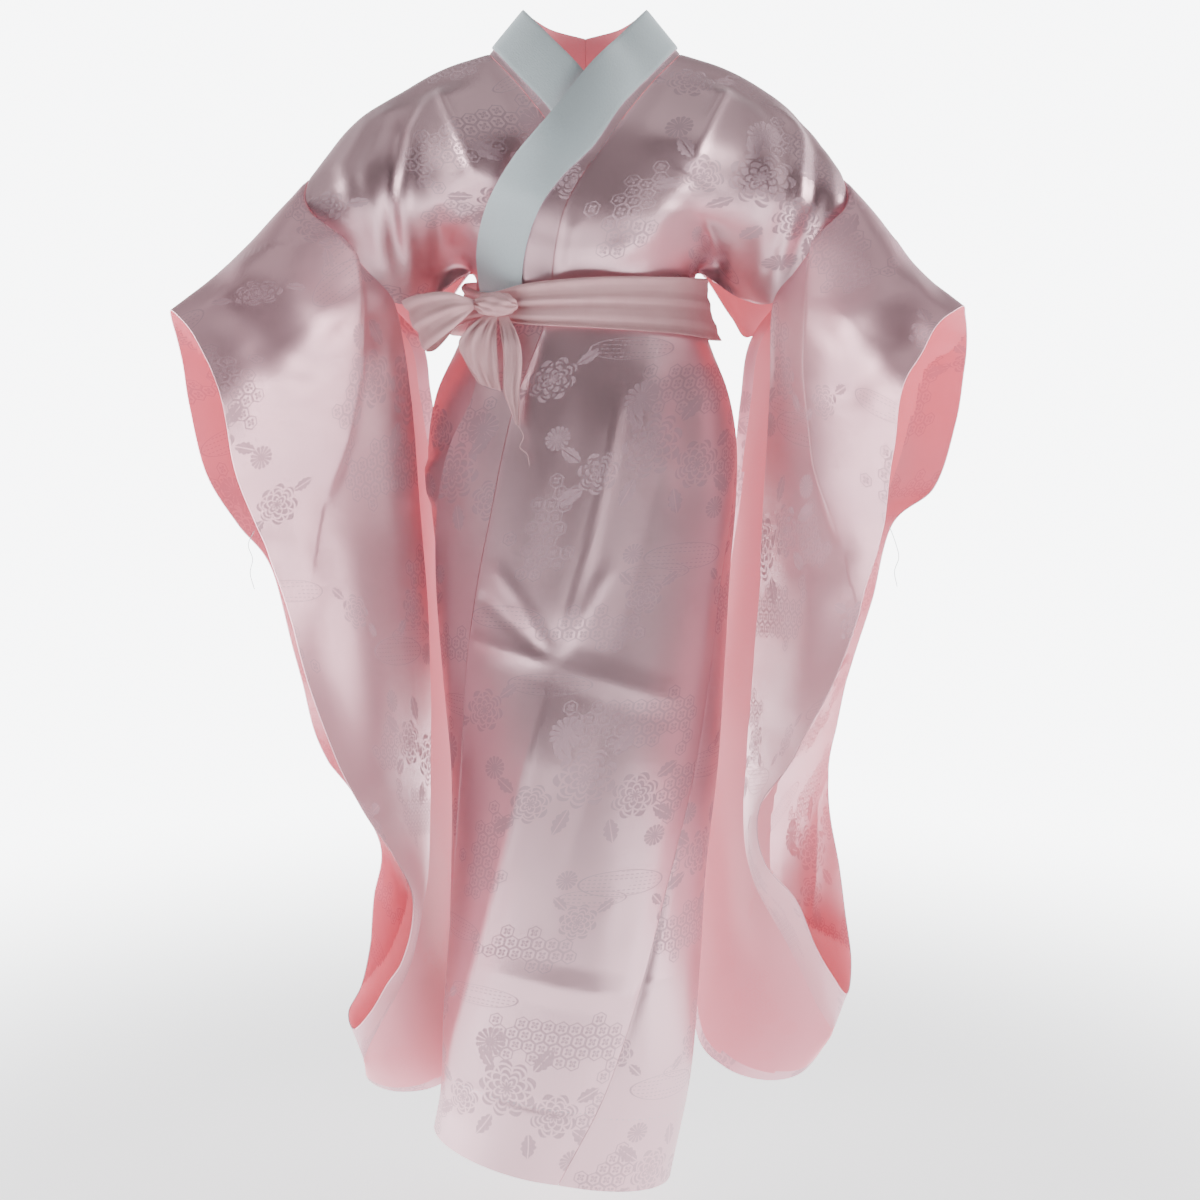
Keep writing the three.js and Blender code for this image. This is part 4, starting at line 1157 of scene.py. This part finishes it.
turnPlace = skirtCount + frontCount - 0.5  # the shoulder, between front and back rows
bodyEnd = 2 * skirtCount + frontCount + backCount - 1
for number, side in enumerate(("left", "right")):
    name = "body_" + side
    grid, places, across = fineGrid(coarse[name], cloth["spacing"])
    middle = axisBy(grid)
    normals = outwardNormals(grid, False, middle)
    title = "body" + side.capitalize()
    seam = np.minimum(across, 1 - across) * bodyCloth["width"]
    height = foldsBetween(grid, places, folds[title + "Front"], -2, turnPlace)
    height += foldsBetween(grid, places, folds[title + "Back"], turnPlace, bodyEnd + 2)
    height += ripples(grid, bodyCloth, number)
    if side == "right":
        start, end = skirtCount + np.array(bodyCloth["hidden"])
        toLeft = smooth((grid[:, :, 0] - bodyCloth["hiddenFrom"]) / bodyCloth["hiddenEase"])
        height *= 1 - partMask(places, start, end)[:, None] * toLeft
    dip = bodyCloth["seamDip"] * np.exp(-(seam / bodyCloth["dipWidth"]) ** 2)
    grid = raised(grid, normals, height * smooth(seam / bodyCloth["seamEase"]) - dip)
    pieces[name] = makeCloth(name + "_cloth", grid, (outside, insideSatinPaintedGlow), cloth["thickness"], grid - middle,
                             shift=patternShift(bodyCloth, number))
    sewing[name] = sewn(name + "_hemStitches", hemLines(grid, normals), white)

    name = "sleeve_" + side
    grid, places, across = fineGrid(coarse[name], cloth["spacing"], closed=True)
    middle = grid.reshape(-1, 3).mean(axis=0)
    normals = outwardNormals(grid, True, middle)
    title = "sleeve" + side.capitalize()
    fromSeam = smooth(across * sleeveCloth["width"] / sleeveCloth["seamEase"])
    fromTop = np.minimum(places, np.abs(len(coarse[name]) - places))
    atTop = 1 - smooth((fromTop - sleeveCloth["topRows"]) / sleeveCloth["topEase"])
    height = foldsBetween(grid, places, folds[title + "Front"], *sleeveCloth["frontRows"])
    height += foldsBetween(grid, places, folds[title + "Back"], *sleeveCloth["backRows"])
    height += ripples(grid, sleeveCloth, number)
    grid = raised(grid, normals, height * (1 - atTop[:, None] * (1 - fromSeam)))
    pieces[name] = makeCloth(name + "_cloth", grid, (sleeveSatinPaintedBrighter, insideSatinPaintedGlow), cloth["thickness"], grid - middle,
                             closed=True, shift=patternShift(sleeveCloth, number),
                             strips=sleeveCloth["allowanceAndPaintedLight"])

    name = "collar_" + side
    grid, places, across = fineGrid(coarse[name], cloth["spacing"])
    middle = axisBy(grid)
    normals = outwardNormals(grid, False, middle)
    height = foldsBetween(grid, places, collarFolds[side], -2, skirtCount - 2)
    height = height * smooth(across * collarCloth["width"] / collarCloth["seamEase"])
    grid = raised(grid, normals, height)
    pieces[name] = makeCloth(name + "_cloth", grid, (outside, insideSatinPaintedGlow), cloth["thickness"], grid - middle,
                             shift=patternShift(collarCloth, number))
print("body, sleeves and collars made")

# The half-collar

grid, places, across = fineGrid(band, halfCollar["spacing"], edgeColumns=(1.0, 2.5))
middle = axisBy(grid, halfCollar["neckDepth"])
normals = outwardNormals(grid, False, middle)
edge = np.minimum(across, 1 - across) * halfCollar["cover"]
dip = halfCollar["edgeDip"] * np.exp(-(edge / halfCollar["dipWidth"]) ** 2)
grid = raised(grid, normals, ripple(grid, *halfCollar["ripple"]) - dip)
pieces["half_collar"] = makeCloth("half_collar_cloth", grid, (white, white), halfCollar["thickness"],
                                  grid - middle)

# The belt


def figureAt(z):
    rows = np.array(figure["rows"], dtype=float)
    if z > rows[-1, 0]:
        return [z, *figure["aboveBelt"]]
    return [np.interp(z, rows[:, 0], rows[:, column]) for column in range(rows.shape[1])]


def stripRows(rows):  # a centre point and a half size become three points, the middle one in front
    bow = belt["strip"]["bow"]
    return [[np.add(centre, [wide * t, 0 if t else -bow, -high * t]) for t in (-1, 0, 1)]
            for centre, (wide, high) in rows]


beltRows = [[onFigure(figureAt(top + (bottom - top) * t), angle, lift) for t in (0, 0.5, 1)]
            for angle, top, bottom, lift in belt["edges"]]
grid, places, across = fineGrid(gridFrom(beltRows, 3), 3.5, closed=True, edgeColumns=(0.8, 2.0))
middle = np.array([0, 0, belt["middleZ"]])
normals = outwardNormals(grid, True, middle)
turn = np.interp(places, np.arange(len(beltRows) + 1), [angle for angle, *_ in belt["edges"]] + [180])
gather = np.exp(-((turn - belt["gatherAt"]) / belt["gatherWidth"]) ** 2)[:, None]
lines = 0
for count, sway, wave, rate, low, more in belt["pleats"]:
    lines = lines + np.sin(across * count + sway * wave(places * rate)[:, None]) * (low + more * gather)
grid = raised(grid, normals, lines)
pieces["belt_wrap"] = makeCloth("belt_wrap_cloth", grid, (soft, soft), belt["thickness"], grid - middle,
                                closed=True)

stripLook = belt["strip"]
for number, (name, key) in enumerate(stripLook["pieces"].items()):
    grid, places, across = fineGrid(gridFrom(stripRows(belt[key]), 4), stripLook["spacing"], edgeColumns=(0.6,))
    normals = gridNormals(grid, False)
    if normals[:, :, 1].mean() > 0:
        normals = -normals
    reach = np.linspace(0, 1, len(grid))[:, None]
    count, more, lean, high, loss = stripLook["pleats"]
    pleats = np.sin(across * (count + more * number) + reach * lean + number) * (high - loss * reach)
    count, lean, high = stripLook["finePleats"]
    pleats += np.sin(across * count - reach * lean) * high
    pleats *= smooth(reach * 5)
    if name == "belt_loop":
        pleats *= smooth((1 - reach) * 5)
    grid = raised(grid, normals, pleats)
    pieces[name] = makeCloth(name + "_cloth", grid, (soft, soft), belt["thickness"], normals)

knot = belt["knot"]
around = np.linspace(0, 2 * np.pi, knot["around"] + 1)[:-1]
fromPole = np.linspace(knot["poleGap"], np.pi - knot["poleGap"], knot["along"])
a, p = np.meshgrid(around, fromPole, indexing="ij")
swell = 1 - 0.10 * (0.5 + 0.5 * np.sin(5 * a + 6.6 * np.cos(p))) - 0.06 * np.sin(9 * a + 4 * p)
ball = np.stack([np.cos(p), np.sin(p) * np.cos(a), np.sin(p) * np.sin(a)], axis=-1) * swell[:, :, None]
ball = ball * knot["halfSize"]
pieces["belt_knot"] = makeCloth("belt_knot_cloth", ball + knot["centre"], (soft, soft), belt["thickness"],
                                ball, closed=True)
print("collar and belt made")

# Loose thread ends

threads = {
    "radius": 0.35,
    "paths": {
        "sleeve_right": [
            (-344, -214, -527), (-350, -216, -541), (-346, -215, -556), (-349, -214, -571), (-345, -214, -588),
        ],
        "sleeve_left": [
            (319, -214, -522), (325, -216, -538), (329, -216, -554), (325, -215, -569), (328, -215, -585),
        ],
        "belt_long_tail": [
            (-74, -118, -418), (-66, -120, -432), (-70, -121, -444), (-62, -121, -452), (-60, -120, -464),
        ],
    },
    "along": 40, "around": 6,
}
threadEnds = {}
for owner, path in threads["paths"].items():
    line = curveAt(np.array(path, dtype=float), np.linspace(0, 1, threads["along"]))
    direction = np.gradient(line, axis=0)
    direction /= np.linalg.norm(direction, axis=1, keepdims=True)
    sideways = np.cross(direction, [0.0, 1.0, 0.0])
    sideways /= np.linalg.norm(sideways, axis=1, keepdims=True)
    other = np.cross(direction, sideways)
    count, last = threads["around"], len(line) - 1
    ring = np.linspace(0, 2 * np.pi, count + 1)[:-1][None, :, None]
    rim = np.cos(ring) * sideways[:, None] + np.sin(ring) * other[:, None]
    tube = line[:, None] + threads["radius"] * rim
    faces = []
    for r in range(0, last * count, count):
        for k in range(count):
            after = (k + 1) % count
            faces.append((r + k, r + after, r + count + after, r + count + k))
    faces += [tuple(range(count))[::-1], tuple(last * count + k for k in range(count))]
    mesh = bpy.data.meshes.new(owner + "_thread")
    mesh.from_pydata((tube.reshape(-1, 3) / 1000).tolist(), [], faces)
    mesh.materials.append(white if "sleeve" in owner else soft)
    mesh.uv_layers.new(name="cloth")
    mesh.update()
    threadEnds[owner] = placed(owner + "_thread", mesh)

# What each piece is

for node, piece in pieces.items():
    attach(piece, "root")
    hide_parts(node)
for owner, thread in threadEnds.items():
    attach(thread, "root")
for seam in sewing.values():
    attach(seam, "root")
print("pieces declared")

# Floor, light and camera

studio = {
    "floorZ": -1.40, "floorX": 6.0, "floorY": (-1.3, 9.0), "floorGlow": 1.5,
    "paper": (0.90, 0.915, 0.93, 1),
    "backdrop": 8.5, "fade": (0.7, 2.4),  # metres over which the floor fades into it
    "pale": 1.45, "front": 0.02, "turn": (-0.95, -0.1), "above": 0.12, "rise": (0.1, 0.8),
    "lights": [  # name, place, target, size, power, colour
        ("leftSoftbox", (-2.7, -0.3, -0.1), (0, 0, -0.6), 1.8, 90, (1.0, 0.99, 0.98)),
        ("rightSoftbox", (2.7, -0.3, -0.1), (0, 0, -0.6), 1.8, 90, (1.0, 0.98, 0.97)),
        ("topSoftbox", (0, -0.2, 2.2), (0, 0, -0.5), 1.8, 6, (1.0, 1.0, 1.0)),
    ],
    "camera": (0.017, -2.3, -0.33), "look": (0.017, 0, -0.627), "lens": 60.2,
}


def eased(tree, value, *ranges):
    return nodeOf(tree, "ShaderNodeMapRange", value, *ranges, interpolation_type="SMOOTHSTEP").outputs[0]


mesh = bpy.data.meshes.new("floor")
near, far = studio["floorY"]
wide = studio["floorX"]
corners = [(x, y, studio["floorZ"]) for x, y in ((-wide, near), (wide, near), (wide, far), (-wide, far))]
mesh.from_pydata(corners, [], [(0, 1, 2, 3)])
floor = placed("floor", mesh)
paper, tree, shader = newMaterial("paleFloor")  # matte near the garment, fading to the backdrop's light
shader.inputs["Base Color"].default_value = studio["paper"]
shader.inputs["Roughness"].default_value = 0.9
shader.inputs["Emission Color"].default_value = studio["paper"]
shader.inputs["Emission Strength"].default_value = studio["floorGlow"]
glow = nodeOf(tree, "ShaderNodeEmission", studio["paper"], studio["backdrop"])
spot = vectors(tree, "MULTIPLY", nodeOf(tree, "ShaderNodeTexCoord").outputs["Object"], (1, 1, 0))
fade = eased(tree, vectors(tree, "LENGTH", spot), *studio["fade"], 0, 1)
blended = nodeOf(tree, "ShaderNodeMixShader", fade, shader.outputs[0], glow.outputs[0])
tree.links.new(blended.outputs[0], tree.nodes["Material Output"].inputs[0])
mesh.materials.append(paper)

world = bpy.data.worlds.new("studio")
bpy.context.scene.world = world
world.use_nodes = True
tree = world.node_tree
background = tree.nodes["Background"]
way = parted(tree, nodeOf(tree, "ShaderNodeTexCoord").outputs["Generated"])
toBack = eased(tree, way[1], *studio["turn"], studio["front"], studio["pale"])
toTop = eased(tree, way[2], *studio["rise"], 1.0, studio["above"])
seen = nodeOf(tree, "ShaderNodeLightPath").outputs["Is Camera Ray"]
unseen = maths(tree, "MULTIPLY", maths(tree, "MULTIPLY", toBack, toTop), maths(tree, "SUBTRACT", 1, seen))
strength = maths(tree, "MULTIPLY_ADD", seen, studio["backdrop"], unseen)
background.inputs[0].default_value = studio["paper"]
tree.links.new(strength, background.inputs[1])


def aim(thing, place, target):
    thing.location = place
    direction = Vector(target) - Vector(place)
    thing.rotation_euler = direction.to_track_quat("-Z", "Y").to_euler()


for name, place, target, size, power, colour in studio["lights"]:
    light = bpy.data.lights.new(name, "AREA")
    light.size = size
    light.energy = power
    light.color = colour
    aim(placed(name, light), place, target)
camera = placed("camera", bpy.data.cameras.new("camera"))
camera.data.lens = studio["lens"]
aim(camera, studio["camera"], studio["look"])
bpy.context.scene.camera = camera

print("scene ready")
